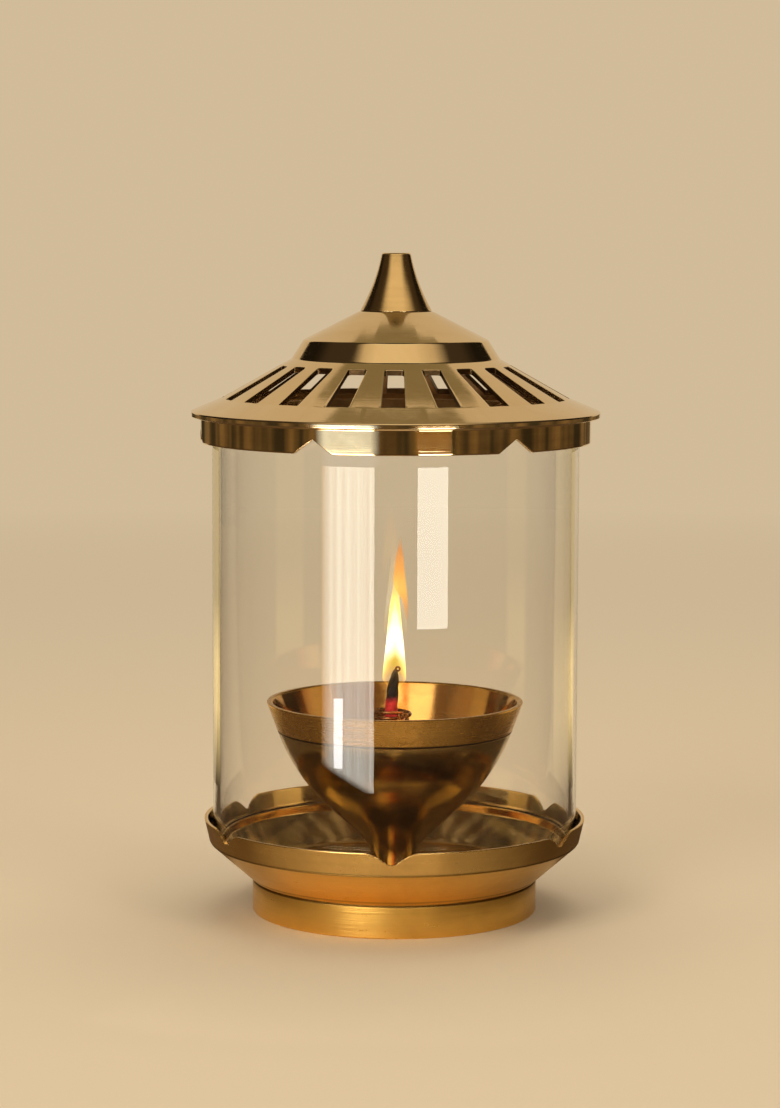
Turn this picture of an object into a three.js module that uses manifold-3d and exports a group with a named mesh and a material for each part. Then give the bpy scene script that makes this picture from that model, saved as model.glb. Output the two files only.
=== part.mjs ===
// Brass oil lamp with a glass shade.
//
// A turned tray on a foot ring carries a conical oil bowl and, inside its notched rim, a plain
// glass cylinder. A slotted lid with a notched skirt rests on the glass. The bowl screws to the
// tray with a stud, a washer and a nut. A bent wire in the bowl holds the wick.
//
// Millimetres, +Z up. The origin is on the table, under the middle of the tray.
// Round profiles are lists of (radius, height). The front of the lamp faces -Y.

import * as THREE from 'three';
import { mergeVertices } from 'three/addons/utils/BufferGeometryUtils.js';
import Module from 'manifold-3d';

const wasm = await Module();
wasm.setup();

// Clearances
const seatGap = 0.1;
const rimClearance = 0.3;
const skirtClearance = 1.9;
const boltClearance = 0.3;
const gripClearance = 0.4;
const wireClearance = 0.3;

// Glass cylinder
const glassRadius = 55;
const glassWall = 2.2;
const glassLength = 128.5;
const glassEdge = 0.5;

// Tray
const footRadius = 43;
const footHeight = 9.3;
const footWall = 2.2;
const footGroove = 0.4;
const trayFloorHeight = 11.5;
const trayFloorThickness = 2;
const trayWall = 2;
const coneTopHeight = 21.3;
const ledgeHeight = 23;
const ledgeLip = 0.8;
const rimWall = 1.1;
const rimHeight = 28.3;
const rimLean = 0.23;
const trayNotchCount = 6;
const trayNotchWidth = 15;
const trayNotchDepth = 3.6;
const trayNotchShoulder = 0.7;
const trayNotchFlat = 2.2;

// Oil bowl, with heights above its own foot
const bowlHeight = 52.1;
const bowlRimRadius = 38.8;
const bowlWall = 1.6;
const bowlGrooveHeight = 43;
const bowlGrooveRadius = 35.4;
const bowlGrooveDepth = 0.4;
const bowlGrooveWidth = 0.7;
const bowlFloorHeight = 18.1;
const stemRadius = 5.6;
const stemPull = 14.9;
const bellyPull = 29.2;

// Bowl stud, washer and nut
const studRadius = 3;
const studTail = 1;
const studReach = 9.8;
const studChamfer = 0.6;
const nutAcrossFlats = 10;
const nutThickness = 5;
const studWasherRadius = 6.5;
const studWasherThickness = 1;

// Lid, with heights above the face that rests on the glass
const lidWall = 1.5;
const lidSeatLip = 0.4;
const breakInset = 0.4;
const breakHeight = 3.3;
const lidRimRadius = 61.2;
const lidRimTop = -0.5;
const lidRimThickness = 1.6;
const lidRimDraft = 0.2;
const skirtWall = 1.5;
const skirtTaper = 0.4;
const skirtDrop = 9.7;
const bandFootRadius = 31.2;
const bandFootHeight = 15;
const bandTopRadius = 27.6;
const bandTopHeight = 20.7;
const crownRadius = 10.9;
const crownHeight = 29.2;
const crownThickness = 2.3;
const slotCount = 20;
const slotInnerRadius = 34.2;
const slotOuterMargin = 0.3;
const slotInnerWidth = 5.6;
const slotOuterWidth = 7;
const slotCorner = 0.8;
const skirtNotchCount = 6;
const skirtNotchWidth = 12.4;
const skirtNotchHeight = 4.2;
const skirtNotchTurn = 37;

// Finial, its screw and washer
const finialHeight = 17.2;
const finialFootRadius = 10.7;
const finialTopRadius = 4.4;
const finialWaist = 0.75;
const finialBevel = 0.4;
const finialBoreDepth = 10;
const screwRadius = 2.5;
const screwReach = 9;
const screwChamfer = 0.5;
const screwHeadRadius = 4.6;
const screwHeadHeight = 2.8;
const screwHeadEdge = 1.4;
const screwHeadCrown = 2.8;
const screwSlotWidth = 1.2;
const screwSlotDepth = 1.2;
const finialWasherRadius = 5.5;
const finialWasherThickness = 1;

// Wick holder, with heights above its lowest turn
const wireRadius = 0.5;
const wireSides = 6;
const wireStepsPerTurn = 16;
const holderOffset = -1.2;
const holderFootRadius = 10.6;
const holderTopRadius = 5.2;
const holderFootTurns = 1.25;
const holderFootRise = 2.1;
const holderConeTurns = 2;
const holderConeRise = 8.3;
const holderGripTurns = 6;
const holderGripRise = 14;
const holderFlareTurns = 0.75;
const holderFlareRise = 2.2;
const holderTopTurns = 1.5;
const holderTopRise = 2.5;
const holderEyeRadius = 0.95;
const holderEyeRun = 3.6;
const holderEyeTurn = 300;

// Wick
const wickRadius = 1.95;
const wickBelow = 1;
const wickAbove = 13.6;
const wickTipRadius = 0.7;
const wickLean = 1.9;
const wickTaperStart = 0.6;
const wickSides = 8;

// Facets
const roundSteps = 60;
const smallRoundSteps = 24;
const bowlCurveSteps = 11;
const finialCurveSteps = 6;
const notchCurveSteps = 4;
const slotCornerSteps = 2;
const eyeSteps = 14;
const wickStraightSteps = 4;
const wickFreeSteps = 10;
const weldTolerance = 1e-4;

// How far a cutter runs past the faces that it cuts
const cutterOverlap = 1;

// Heights and radii that follow from the sizes above
const glassInnerRadius = glassRadius - glassWall;
const glassFoot = ledgeHeight + seatGap;
const lidSeat = glassFoot + glassLength + seatGap;
const bowlFoot = trayFloorHeight + seatGap;
const trayUnderside = trayFloorHeight - trayFloorThickness;
const studBore = studRadius + boltClearance;
const studWasherFoot = trayUnderside - seatGap - studWasherThickness;
const studNutFoot = studWasherFoot - seatGap - nutThickness;
const crownUnderside = lidSeat + crownHeight - crownThickness;
const finialFoot = lidSeat + crownHeight + seatGap;
const screwBore = screwRadius + boltClearance;
const finialWasherFoot = crownUnderside - seatGap - finialWasherThickness;

const brass = new THREE.MeshStandardMaterial({ color: 0xc9a04e, roughness: 0.18, metalness: 1 });
const warmBrass = new THREE.MeshStandardMaterial({ color: 0xc08236, roughness: 0.35, metalness: 1 });
const bowlBrass = new THREE.MeshStandardMaterial({ color: 0xa97f40, roughness: 0.25, metalness: 1 });
const steel = new THREE.MeshStandardMaterial({ color: 0xb9bcc0, roughness: 0.35, metalness: 1 });
const wireBrass = new THREE.MeshStandardMaterial({ color: 0x8a6a3c, roughness: 0.4, metalness: 1 });
const cotton = new THREE.MeshStandardMaterial({ color: 0xb01818, roughness: 0.95, metalness: 0 });
const glass = new THREE.MeshStandardMaterial({
  color: 0xf4f8f6,
  roughness: 0.03,
  metalness: 0,
  transparent: true,
  opacity: 0.25,
});

function at(radius, height) {
  return new THREE.Vector2(radius, height);
}

function radians(degrees) {
  return THREE.MathUtils.degToRad(degrees);
}

// The point of the line through a and b that has the given height, or the given radius.
function pointAtHeight(a, b, height) {
  return a.clone().lerp(b, (height - a.y) / (b.y - a.y));
}

function pointAtRadius(a, b, radius) {
  return a.clone().lerp(b, (radius - a.x) / (b.x - a.x));
}

// A line that keeps one distance to the left of another, with mitred corners.
function offsetPath(points, distance) {
  const last = points.length - 1;
  const leftOf = (a, b) => at(a.y - b.y, b.x - a.x).normalize();
  return points.map((point, i) => {
    const before = leftOf(points[Math.max(i - 1, 0)], points[Math.max(i, 1)]);
    const after = leftOf(points[Math.min(i, last - 1)], points[Math.min(i + 1, last)]);
    const mitre = before.clone().add(after).multiplyScalar(distance / (1 + before.dot(after)));
    return point.clone().add(mitre);
  });
}

// Welds a geometry into one closed skin, without the flat triangles at a pole.
function weld(geometry) {
  const plain = geometry.clone();
  plain.deleteAttribute('normal');
  plain.deleteAttribute('uv');
  const merged = mergeVertices(plain, weldTolerance);
  const corners = merged.index.array;
  const kept = [];
  for (let i = 0; i < corners.length; i += 3) {
    const [a, b, c] = [corners[i], corners[i + 1], corners[i + 2]];
    if (a !== b && b !== c && c !== a) {
      kept.push(a, b, c);
    }
  }
  merged.setIndex(kept);
  return merged;
}

// The signed volume tells whether the faces point out.
function signedVolume(geometry) {
  const place = geometry.attributes.position;
  const corners = geometry.index.array;
  const [a, b, c] = [new THREE.Vector3(), new THREE.Vector3(), new THREE.Vector3()];
  let sum = 0;
  for (let i = 0; i < corners.length; i += 3) {
    a.fromBufferAttribute(place, corners[i]);
    b.fromBufferAttribute(place, corners[i + 1]);
    c.fromBufferAttribute(place, corners[i + 2]);
    sum += a.dot(b.cross(c)) / 6;
  }
  return sum;
}

function closedSolid(geometry) {
  const solid = weld(geometry);
  if (signedVolume(solid) < 0) {
    solid.setIndex(Array.from(solid.index.array).reverse());
  }
  return solid;
}

function toManifold(geometry) {
  const solid = closedSolid(geometry);
  const vertProperties = new Float32Array(solid.attributes.position.array);
  const triVerts = new Uint32Array(solid.index.array);
  return new wasm.Manifold(new wasm.Mesh({ numProp: 3, vertProperties, triVerts }));
}

function toGeometry(manifold) {
  const mesh = manifold.getMesh();
  const geometry = new THREE.BufferGeometry();
  geometry.setAttribute('position', new THREE.BufferAttribute(mesh.vertProperties, 3));
  geometry.setIndex(new THREE.BufferAttribute(mesh.triVerts, 1));
  return geometry;
}

function cut(body, cutters) {
  const cuts = cutters.map(toManifold);
  return toGeometry(cuts.reduce((solid, cutter) => solid.subtract(cutter), toManifold(body)));
}

// Turns a profile of (radius, height) points about the lamp's axis. A profile that doesn't start
// and end on the axis is closed on itself.
function revolve(profile, steps = roundSteps) {
  const first = profile[0];
  const last = profile[profile.length - 1];
  const onAxis = first.x === 0 && last.x === 0;
  const points = onAxis ? profile : [...profile, first];
  const geometry = new THREE.LatheGeometry(points, steps);
  geometry.rotateX(Math.PI / 2);
  return closedSolid(geometry);
}

function washer(innerRadius, outerRadius, bottom, thickness) {
  return revolve([
    at(innerRadius, bottom),
    at(outerRadius, bottom),
    at(outerRadius, bottom + thickness),
    at(innerRadius, bottom + thickness),
  ], smallRoundSteps);
}

// A prism that cuts through a wall from the axis outwards, turned to its place from the front.
// Its outline is drawn as (sideways, height).
function radialCutter(outline, innerRadius, outerRadius, turn) {
  const geometry = new THREE.ExtrudeGeometry(outline, {
    depth: outerRadius - innerRadius,
    bevelEnabled: false,
    curveSegments: notchCurveSteps,
  });
  geometry.translate(0, 0, innerRadius);
  geometry.rotateX(Math.PI / 2);
  geometry.rotateZ(radians(turn));
  return geometry;
}

// Copies of a cutter at equal turns about the axis.
function ring(count, makeCutter, startTurn = 0) {
  return Array.from({ length: count }, (_, i) => makeCutter(startTurn + (i * 360) / count));
}

// A tube of a few sides along a list of points. The sections keep the least twist from one to the
// next. radiusAt gives the radius for a share of the length from 0 to 1.
function sweepTube(points, radiusAt, sides) {
  const last = points.length - 1;
  const directionAt = (i) => {
    const ahead = points[Math.min(i + 1, last)];
    return ahead.clone().sub(points[Math.max(i - 1, 0)]).normalize();
  };
  const nearlyUpright = 0.9;
  const side = new THREE.Vector3(0, 0, 1);
  if (Math.abs(directionAt(0).z) > nearlyUpright) {
    side.set(1, 0, 0);
  }
  const positions = [];
  points.forEach((point, i) => {
    const along = directionAt(i);
    side.addScaledVector(along, -side.dot(along)).normalize();
    const across = along.clone().cross(side);
    for (let k = 0; k < sides; k += 1) {
      const turn = (2 * Math.PI * k) / sides;
      const radius = radiusAt(i / last);
      const corner = point.clone();
      corner.addScaledVector(side, Math.cos(turn) * radius);
      corner.addScaledVector(across, Math.sin(turn) * radius);
      positions.push(corner.x, corner.y, corner.z);
    }
  });
  const corners = [];
  for (let i = 0; i < last; i += 1) {
    for (let k = 0; k < sides; k += 1) {
      const a = i * sides + k;
      const b = i * sides + ((k + 1) % sides);
      corners.push(a, b, b + sides, a, b + sides, a + sides);
    }
  }
  for (let k = 1; k < sides - 1; k += 1) {
    const end = last * sides;
    corners.push(0, k + 1, k, end, end + k, end + k + 1);
  }
  const geometry = new THREE.BufferGeometry();
  geometry.setAttribute('position', new THREE.Float32BufferAttribute(positions, 3));
  geometry.setIndex(corners);
  return closedSolid(geometry);
}

// The smallest space between two stretches of a tube that are not next to each other.
function leastSelfGap(points, radius, skip) {
  let least = Infinity;
  for (let i = 0; i < points.length; i += 1) {
    for (let j = i + skip; j < points.length; j += 1) {
      least = Math.min(least, points[i].distanceTo(points[j]));
    }
  }
  return least - 2 * radius;
}

// Tray: foot ring, groove, cone and leaning rim outside; ledge, cone and flat floor inside.
function rimRadiusAt(height) {
  return glassRadius + rimClearance + rimWall + rimLean * (height - ledgeHeight);
}

function makeTray() {
  const coneFoot = at(footRadius + footGroove, footHeight + 2 * footGroove);
  const coneTop = at(rimRadiusAt(coneTopHeight), coneTopHeight);
  const insideCone = offsetPath([coneFoot, coneTop], trayWall);
  const ledgeInnerRadius = glassInnerRadius - ledgeLip;
  const body = revolve([
    at(studBore, trayUnderside),
    at(footRadius - footWall, trayUnderside),
    at(footRadius - footWall, 0),
    at(footRadius, 0),
    at(footRadius, footHeight),
    at(footRadius - footGroove, footHeight + footGroove),
    coneFoot,
    coneTop,
    at(rimRadiusAt(rimHeight), rimHeight),
    at(rimRadiusAt(rimHeight) - rimWall, rimHeight),
    at(rimRadiusAt(ledgeHeight) - rimWall, ledgeHeight),
    at(ledgeInnerRadius, ledgeHeight),
    pointAtRadius(...insideCone, ledgeInnerRadius),
    pointAtHeight(...insideCone, trayFloorHeight),
    at(studBore, trayFloorHeight),
  ]);
  const half = trayNotchWidth / 2;
  const flat = trayNotchFlat / 2;
  const shoulder = (half + flat) / 2;
  const bottom = rimHeight - trayNotchDepth;
  const notch = new THREE.Shape();
  notch.moveTo(-half, rimHeight + cutterOverlap);
  notch.lineTo(-half, rimHeight);
  notch.quadraticCurveTo(-shoulder, rimHeight - trayNotchShoulder, -flat, bottom);
  notch.lineTo(flat, bottom);
  notch.quadraticCurveTo(shoulder, rimHeight - trayNotchShoulder, half, rimHeight);
  notch.lineTo(half, rimHeight + cutterOverlap);
  const inner = glassRadius - cutterOverlap;
  const outer = rimRadiusAt(rimHeight) + cutterOverlap;
  return cut(body, ring(trayNotchCount, (turn) => radialCutter(notch, inner, outer, turn)));
}

// The bowl's side is one curve that rises straight up from the stem's foot, flares out into the
// belly and meets the straight band above the groove without a corner. The inside keeps the
// wall's thickness to it.
function bowlOutside() {
  const rim = at(bowlRimRadius, bowlFoot + bowlHeight);
  const groove = at(bowlGrooveRadius, bowlFoot + bowlGrooveHeight);
  const bandDirection = rim.clone().sub(groove).normalize();
  const side = new THREE.CubicBezierCurve(
    at(stemRadius, bowlFoot),
    at(stemRadius, bowlFoot + stemPull),
    groove.clone().addScaledVector(bandDirection, -bellyPull),
    groove,
  );
  return [...side.getPoints(bowlCurveSteps), rim];
}

function bowlInside() {
  const floor = bowlFoot + bowlFloorHeight;
  const wall = offsetPath(bowlOutside(), bowlWall);
  const above = wall.filter((point) => point.y > floor);
  const below = wall[wall.length - above.length - 1];
  const last = above.length - 1;
  const rim = pointAtHeight(above[last - 1], above[last], bowlFoot + bowlHeight);
  return [pointAtHeight(below, above[0], floor), ...above.slice(0, last), rim];
}

function bowlInsideHeight(radius) {
  const wall = bowlInside();
  const i = wall.findIndex((point) => point.x > radius);
  return i <= 0 ? wall[0].y : pointAtRadius(wall[i - 1], wall[i], radius).y;
}

function makeBowl() {
  const outside = bowlOutside();
  const rim = outside.pop();
  const groove = outside.pop();
  const band = rim.clone().sub(groove).normalize();
  const grooveEdge = (share) => groove.clone().addScaledVector(band, share * bowlGrooveWidth);
  const grooveBottom = grooveEdge(0.5).add(at(-band.y, band.x).multiplyScalar(bowlGrooveDepth));
  const floor = bowlFoot + bowlFloorHeight;
  const socketTop = bowlFoot + studReach + seatGap;
  return revolve([
    at(0, socketTop),
    at(studRadius + seatGap, socketTop),
    at(studRadius + seatGap, bowlFoot),
    ...outside,
    grooveEdge(0),
    grooveBottom,
    grooveEdge(1),
    rim,
    ...bowlInside().reverse(),
    at(0, floor),
  ]);
}

function makeStud() {
  const bottom = studNutFoot - studTail;
  const top = bowlFoot + studReach;
  return revolve([
    at(0, bottom),
    at(studRadius - studChamfer, bottom),
    at(studRadius, bottom + studChamfer),
    at(studRadius, top - studChamfer),
    at(studRadius - studChamfer, top),
    at(0, top),
  ], smallRoundSteps);
}

function makeStudNut() {
  const corner = nutAcrossFlats / 2 / Math.cos(Math.PI / 6);
  const outline = new THREE.Shape();
  for (let i = 0; i < 6; i += 1) {
    const turn = (Math.PI * i) / 3;
    outline[i ? 'lineTo' : 'moveTo'](Math.cos(turn) * corner, Math.sin(turn) * corner);
  }
  outline.closePath();
  outline.holes.push(new THREE.Path().absarc(0, 0, studRadius + boltClearance / 2, 0, 2 * Math.PI));
  const geometry = new THREE.ExtrudeGeometry(outline, {
    depth: nutThickness,
    bevelEnabled: false,
    curveSegments: smallRoundSteps / 2,
  });
  geometry.translate(0, 0, studNutFoot);
  return closedSolid(geometry);
}

function makeGlass() {
  const top = glassFoot + glassLength;
  return revolve([
    at(glassInnerRadius + glassEdge, glassFoot),
    at(glassRadius - glassEdge, glassFoot),
    at(glassRadius, glassFoot + glassEdge),
    at(glassRadius, top - glassEdge),
    at(glassRadius - glassEdge, top),
    at(glassInnerRadius + glassEdge, top),
    at(glassInnerRadius, top - glassEdge),
    at(glassInnerRadius, glassFoot + glassEdge),
  ]);
}

// A slot is wider at its outer end, with softened corners. It is drawn as (sideways, -radius).
function slotOutline(innerRadius, outerRadius) {
  const corners = [
    at(-slotInnerWidth / 2, -innerRadius),
    at(-slotOuterWidth / 2, -outerRadius),
    at(slotOuterWidth / 2, -outerRadius),
    at(slotInnerWidth / 2, -innerRadius),
  ];
  const outline = new THREE.Shape();
  corners.forEach((corner, i) => {
    const before = corners[(i + 3) % 4].clone().sub(corner).setLength(slotCorner).add(corner);
    const after = corners[(i + 1) % 4].clone().sub(corner).setLength(slotCorner).add(corner);
    outline[i ? 'lineTo' : 'moveTo'](before.x, before.y);
    outline.quadraticCurveTo(corner.x, corner.y, after.x, after.y);
  });
  outline.closePath();
  return outline;
}

// Lid: crown, cone, band, slotted cone and flange over a skirt. The wall keeps its thickness
// inside, down to the flat ring that rests on the glass.
function makeLid() {
  const up = (radius, height) => at(radius, lidSeat + height);
  const seatInnerRadius = glassInnerRadius - lidSeatLip;
  const breakRadius = seatInnerRadius - breakInset;
  const skirtInnerRadius = glassRadius + skirtClearance;
  const skirtOuterRadius = skirtInnerRadius + skirtWall;
  const rimBottom = lidRimTop - lidRimThickness;
  const outside = [
    up(crownRadius, crownHeight),
    up(bandTopRadius, bandTopHeight),
    up(bandFootRadius, bandFootHeight),
    up(breakRadius, breakHeight),
    up(lidRimRadius, lidRimTop),
  ];
  const inside = offsetPath(outside, -lidWall);
  const body = revolve([
    up(screwBore, crownHeight),
    ...outside,
    up(lidRimRadius - lidRimDraft, rimBottom),
    up(skirtOuterRadius + skirtTaper, rimBottom),
    up(skirtOuterRadius, -skirtDrop),
    up(skirtInnerRadius, -skirtDrop),
    up(skirtInnerRadius, 0),
    up(seatInnerRadius, 0),
    pointAtRadius(inside[3], inside[4], seatInnerRadius),
    inside[3],
    inside[2],
    inside[1],
    pointAtHeight(inside[0], inside[1], crownUnderside),
    at(screwBore, crownUnderside),
  ]);

  const slotDepth = bandFootHeight - breakHeight + 2 * lidWall;
  const slotBottom = lidSeat + breakHeight - 2 * lidWall;
  const slot = slotOutline(slotInnerRadius, breakRadius - slotOuterMargin);
  const slotCutter = (turn) => {
    const geometry = new THREE.ExtrudeGeometry(slot, {
      depth: slotDepth,
      bevelEnabled: false,
      curveSegments: slotCornerSteps,
    });
    geometry.translate(0, 0, slotBottom);
    geometry.rotateZ(radians(turn));
    return geometry;
  };

  const half = skirtNotchWidth / 2;
  const edge = lidSeat - skirtDrop;
  const notch = new THREE.Shape([
    at(0, edge + skirtNotchHeight),
    at(-half, edge),
    at(-half, edge - cutterOverlap),
    at(half, edge - cutterOverlap),
    at(half, edge),
  ]);
  const inner = skirtInnerRadius - cutterOverlap;
  const outer = skirtOuterRadius + skirtTaper + cutterOverlap;
  const notchCutter = (turn) => radialCutter(notch, inner, outer, turn);
  return cut(body, [
    ...ring(slotCount, slotCutter),
    ...ring(skirtNotchCount, notchCutter, skirtNotchTurn),
  ]);
}

// Finial: its side is drawn in a little at mid height, and its screw hole is blind.
function makeFinial() {
  const foot = at(finialFootRadius, finialFoot);
  const top = at(finialTopRadius, finialFoot + finialHeight - finialBevel);
  const middle = foot.clone().lerp(top, 0.5).add(at(-2 * finialWaist, 0));
  const side = new THREE.QuadraticBezierCurve(foot, middle, top);
  const boreRadius = screwRadius + seatGap;
  return revolve([
    at(0, finialFoot + finialBoreDepth),
    at(boreRadius, finialFoot + finialBoreDepth),
    at(boreRadius, finialFoot),
    ...side.getPoints(finialCurveSteps),
    at(finialTopRadius - finialBevel, finialFoot + finialHeight),
    at(0, finialFoot + finialHeight),
  ], 2 * smallRoundSteps);
}

function makeFinialScrew() {
  const headTop = finialWasherFoot - seatGap;
  const headBottom = headTop - screwHeadHeight;
  const shankTop = finialFoot + screwReach;
  const body = revolve([
    at(0, headBottom),
    at(screwHeadCrown, headBottom),
    at(screwHeadRadius, headTop - screwHeadEdge),
    at(screwHeadRadius, headTop),
    at(screwRadius, headTop),
    at(screwRadius, shankTop - screwChamfer),
    at(screwRadius - screwChamfer, shankTop),
    at(0, shankTop),
  ], smallRoundSteps);
  const slot = new THREE.BoxGeometry(3 * screwHeadRadius, screwSlotWidth, 2 * screwSlotDepth);
  slot.translate(0, 0, headBottom);
  return cut(body, [slot]);
}

// Wick holder: one wire that rests in the bowl with a wide turn, closes in on the wick, flares
// again above and ends in front of the wick in a small rolled eye.
function holderFootLevel() {
  const reach = holderFootRadius - holderOffset + wireRadius;
  return bowlInsideHeight(reach) + wireRadius + wireClearance;
}

function holderRoute() {
  const gripRadius = wickRadius + gripClearance + wireRadius;
  const stages = [
    { turns: holderFootTurns, rise: holderFootRise, radius: holderFootRadius },
    { turns: holderConeTurns, rise: holderConeRise, radius: gripRadius },
    { turns: holderGripTurns, rise: holderGripRise, radius: gripRadius },
    { turns: holderFlareTurns, rise: holderFlareRise, radius: holderTopRadius },
    { turns: holderTopTurns, rise: holderTopRise, radius: holderTopRadius },
  ];
  const allTurns = stages.reduce((sum, stage) => sum + stage.turns, 0);
  const points = [];
  let turned = -allTurns;
  let height = holderFootLevel();
  let radius = holderFootRadius;
  stages.forEach((stage, n) => {
    const steps = Math.round(stage.turns * wireStepsPerTurn);
    for (let i = n ? 1 : 0; i <= steps; i += 1) {
      const share = i / steps;
      const angle = (turned + share * stage.turns) * 2 * Math.PI;
      const eased = THREE.MathUtils.smoothstep(share, 0, 1);
      const reach = THREE.MathUtils.lerp(radius, stage.radius, eased);
      points.push(new THREE.Vector3(
        holderOffset + Math.sin(angle) * reach,
        -Math.cos(angle) * reach,
        height + share * stage.rise,
      ));
    }
    turned += stage.turns;
    height += stage.rise;
    radius = stage.radius;
  });
  return points;
}

// From the last turn the wire runs straight on to the right and rolls up in its own plane.
function holderEye(start) {
  const centre = start.clone().add(new THREE.Vector3(holderEyeRun, 0, -holderEyeRadius));
  const points = [];
  for (let i = 0; i <= eyeSteps; i += 1) {
    const turn = radians(holderEyeTurn) * (i / eyeSteps);
    points.push(new THREE.Vector3(
      centre.x + Math.sin(turn) * holderEyeRadius,
      centre.y,
      centre.z + Math.cos(turn) * holderEyeRadius,
    ));
  }
  return points;
}

function makeWickHolder() {
  const turns = holderRoute();
  const points = [...turns, ...holderEye(turns[turns.length - 1])];
  const gap = leastSelfGap(turns, wireRadius, wireStepsPerTurn / 2);
  console.log(`wick_holder: least gap to itself ${gap.toFixed(2)} mm`);
  return sweepTube(points, () => wireRadius, wireSides);
}

// Wick: straight up through the holder, then leaning and thinning towards its curled tip.
function makeWick() {
  const bottom = bowlFoot + bowlFloorHeight + wickBelow;
  const grip = holderFootLevel() + holderFootRise + holderConeRise + holderGripRise;
  const top = grip + holderFlareRise + holderTopRise + wickAbove;
  const straight = new THREE.LineCurve3(
    new THREE.Vector3(holderOffset, 0, bottom),
    new THREE.Vector3(holderOffset, 0, grip),
  );
  const free = new THREE.CubicBezierCurve3(
    new THREE.Vector3(holderOffset, 0, grip),
    new THREE.Vector3(holderOffset, 0, grip + wickAbove / 2),
    new THREE.Vector3(holderOffset + wickLean, 0, top - wickAbove / 2),
    new THREE.Vector3(holderOffset + wickLean, 0, top),
  );
  const points = [...straight.getPoints(wickStraightSteps), ...free.getPoints(wickFreeSteps).slice(1)];
  const last = points.length - 1;
  const radiusAt = (share) => {
    const tipShare = THREE.MathUtils.smoothstep(share, wickTaperStart, 1 + 1 / last);
    return THREE.MathUtils.lerp(wickRadius, wickTipRadius, tipShare);
  };
  return sweepTube(points, radiusAt, wickSides);
}

const lamp = new THREE.Group();
lamp.name = 'brass_oil_lamp';

function addPiece(name, geometry, material) {
  const mesh = new THREE.Mesh(geometry, material);
  mesh.name = name;
  lamp.add(mesh);
}

addPiece('base_tray', makeTray(), warmBrass);
addPiece('stud_washer', washer(studBore, studWasherRadius, studWasherFoot, studWasherThickness), steel);
addPiece('stud_nut', makeStudNut(), steel);
addPiece('bowl_stud', makeStud(), steel);
addPiece('oil_bowl', makeBowl(), bowlBrass);
addPiece('wick_holder', makeWickHolder(), wireBrass);
addPiece('wick', makeWick(), cotton);
addPiece('glass_chimney', makeGlass(), glass);
addPiece('lid', makeLid(), brass);
addPiece('finial', makeFinial(), brass);
addPiece(
  'finial_washer',
  washer(screwBore, finialWasherRadius, finialWasherFoot, finialWasherThickness),
  steel,
);
addPiece('finial_screw', makeFinialScrew(), steel);

export default lamp;
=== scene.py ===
"""Dresses the brass oil lamp: fine surfaces, finishes, oil and a flame, with its light and camera.

Metres, +Z up. The lamp's axis is Z and its front faces -Y. A turn is an angle about the axis, in
radians from the front towards +X. A profile is a list of (radius, height) points.
"""

import bmesh
import bpy
import numpy as np
from mathutils import Matrix, Vector


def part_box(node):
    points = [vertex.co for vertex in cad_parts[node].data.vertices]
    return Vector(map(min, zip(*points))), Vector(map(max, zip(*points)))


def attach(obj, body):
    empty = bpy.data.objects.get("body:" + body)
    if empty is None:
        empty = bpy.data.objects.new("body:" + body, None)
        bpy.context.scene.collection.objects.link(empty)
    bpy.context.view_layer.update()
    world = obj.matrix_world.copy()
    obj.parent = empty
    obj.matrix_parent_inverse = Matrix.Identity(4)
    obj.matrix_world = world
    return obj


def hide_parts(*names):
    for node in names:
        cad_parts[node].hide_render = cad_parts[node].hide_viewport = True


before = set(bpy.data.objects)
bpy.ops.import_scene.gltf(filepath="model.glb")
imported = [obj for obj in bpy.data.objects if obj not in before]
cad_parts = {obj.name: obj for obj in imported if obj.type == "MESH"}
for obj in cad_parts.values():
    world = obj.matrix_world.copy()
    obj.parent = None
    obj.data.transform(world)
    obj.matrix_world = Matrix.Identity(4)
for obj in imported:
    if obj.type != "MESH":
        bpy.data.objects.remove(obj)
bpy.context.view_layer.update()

MM = 0.001
WELD = 1e-7
SMOOTH_UNDER = np.radians(38)
FILLET_STEPS = 4
CORNER_POINTS = FILLET_STEPS + 3
FILLET_MOST = 0.3
GUARD_AT = 1.5
COLUMNS = 360

GLASS_LOW, GLASS_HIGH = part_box("glass_chimney")
TRAY_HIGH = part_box("base_tray")[1]
BOWL_LOW, BOWL_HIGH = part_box("oil_bowl")
LID_LOW, LID_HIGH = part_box("lid")
FINIAL_LOW, FINIAL_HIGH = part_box("finial")
HOLDER_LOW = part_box("wick_holder")[0]
WICK_LOW, WICK_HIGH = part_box("wick")

GLASS_RADIUS = GLASS_HIGH.x
GLASS_WALL = 2.2 * MM
GLASS_FILLET = 0.5

FOOT_RADIUS = 43 * MM
FOOT_HEIGHT = 9.3 * MM
FOOT_WALL = 2.2 * MM
FOOT_GROOVE = 0.4 * MM
TRAY_FLOOR = 11.5 * MM
TRAY_UNDERSIDE = 9.5 * MM
TRAY_WALL = 2 * MM
TRAY_BORE = 3.3 * MM
CONE_TOP = 21.3 * MM
CONE_LINE = 0.22 * MM
LEDGE = 23 * MM
LEDGE_LIP = 0.8 * MM
RIM_CLEARANCE = 0.3 * MM
RIM_WALL = 1.1 * MM
RIM_LEAN = 0.23
TRAY_NOTCHES = 6
TRAY_NOTCH_WIDTH = 15 * MM
TRAY_NOTCH_DEPTH = 3.6 * MM
TRAY_NOTCH_SHOULDER = 0.7 * MM
TRAY_NOTCH_FLAT = 2.2 * MM
TRAY_NOTCH_RAGGED = 0.16 * MM

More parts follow.
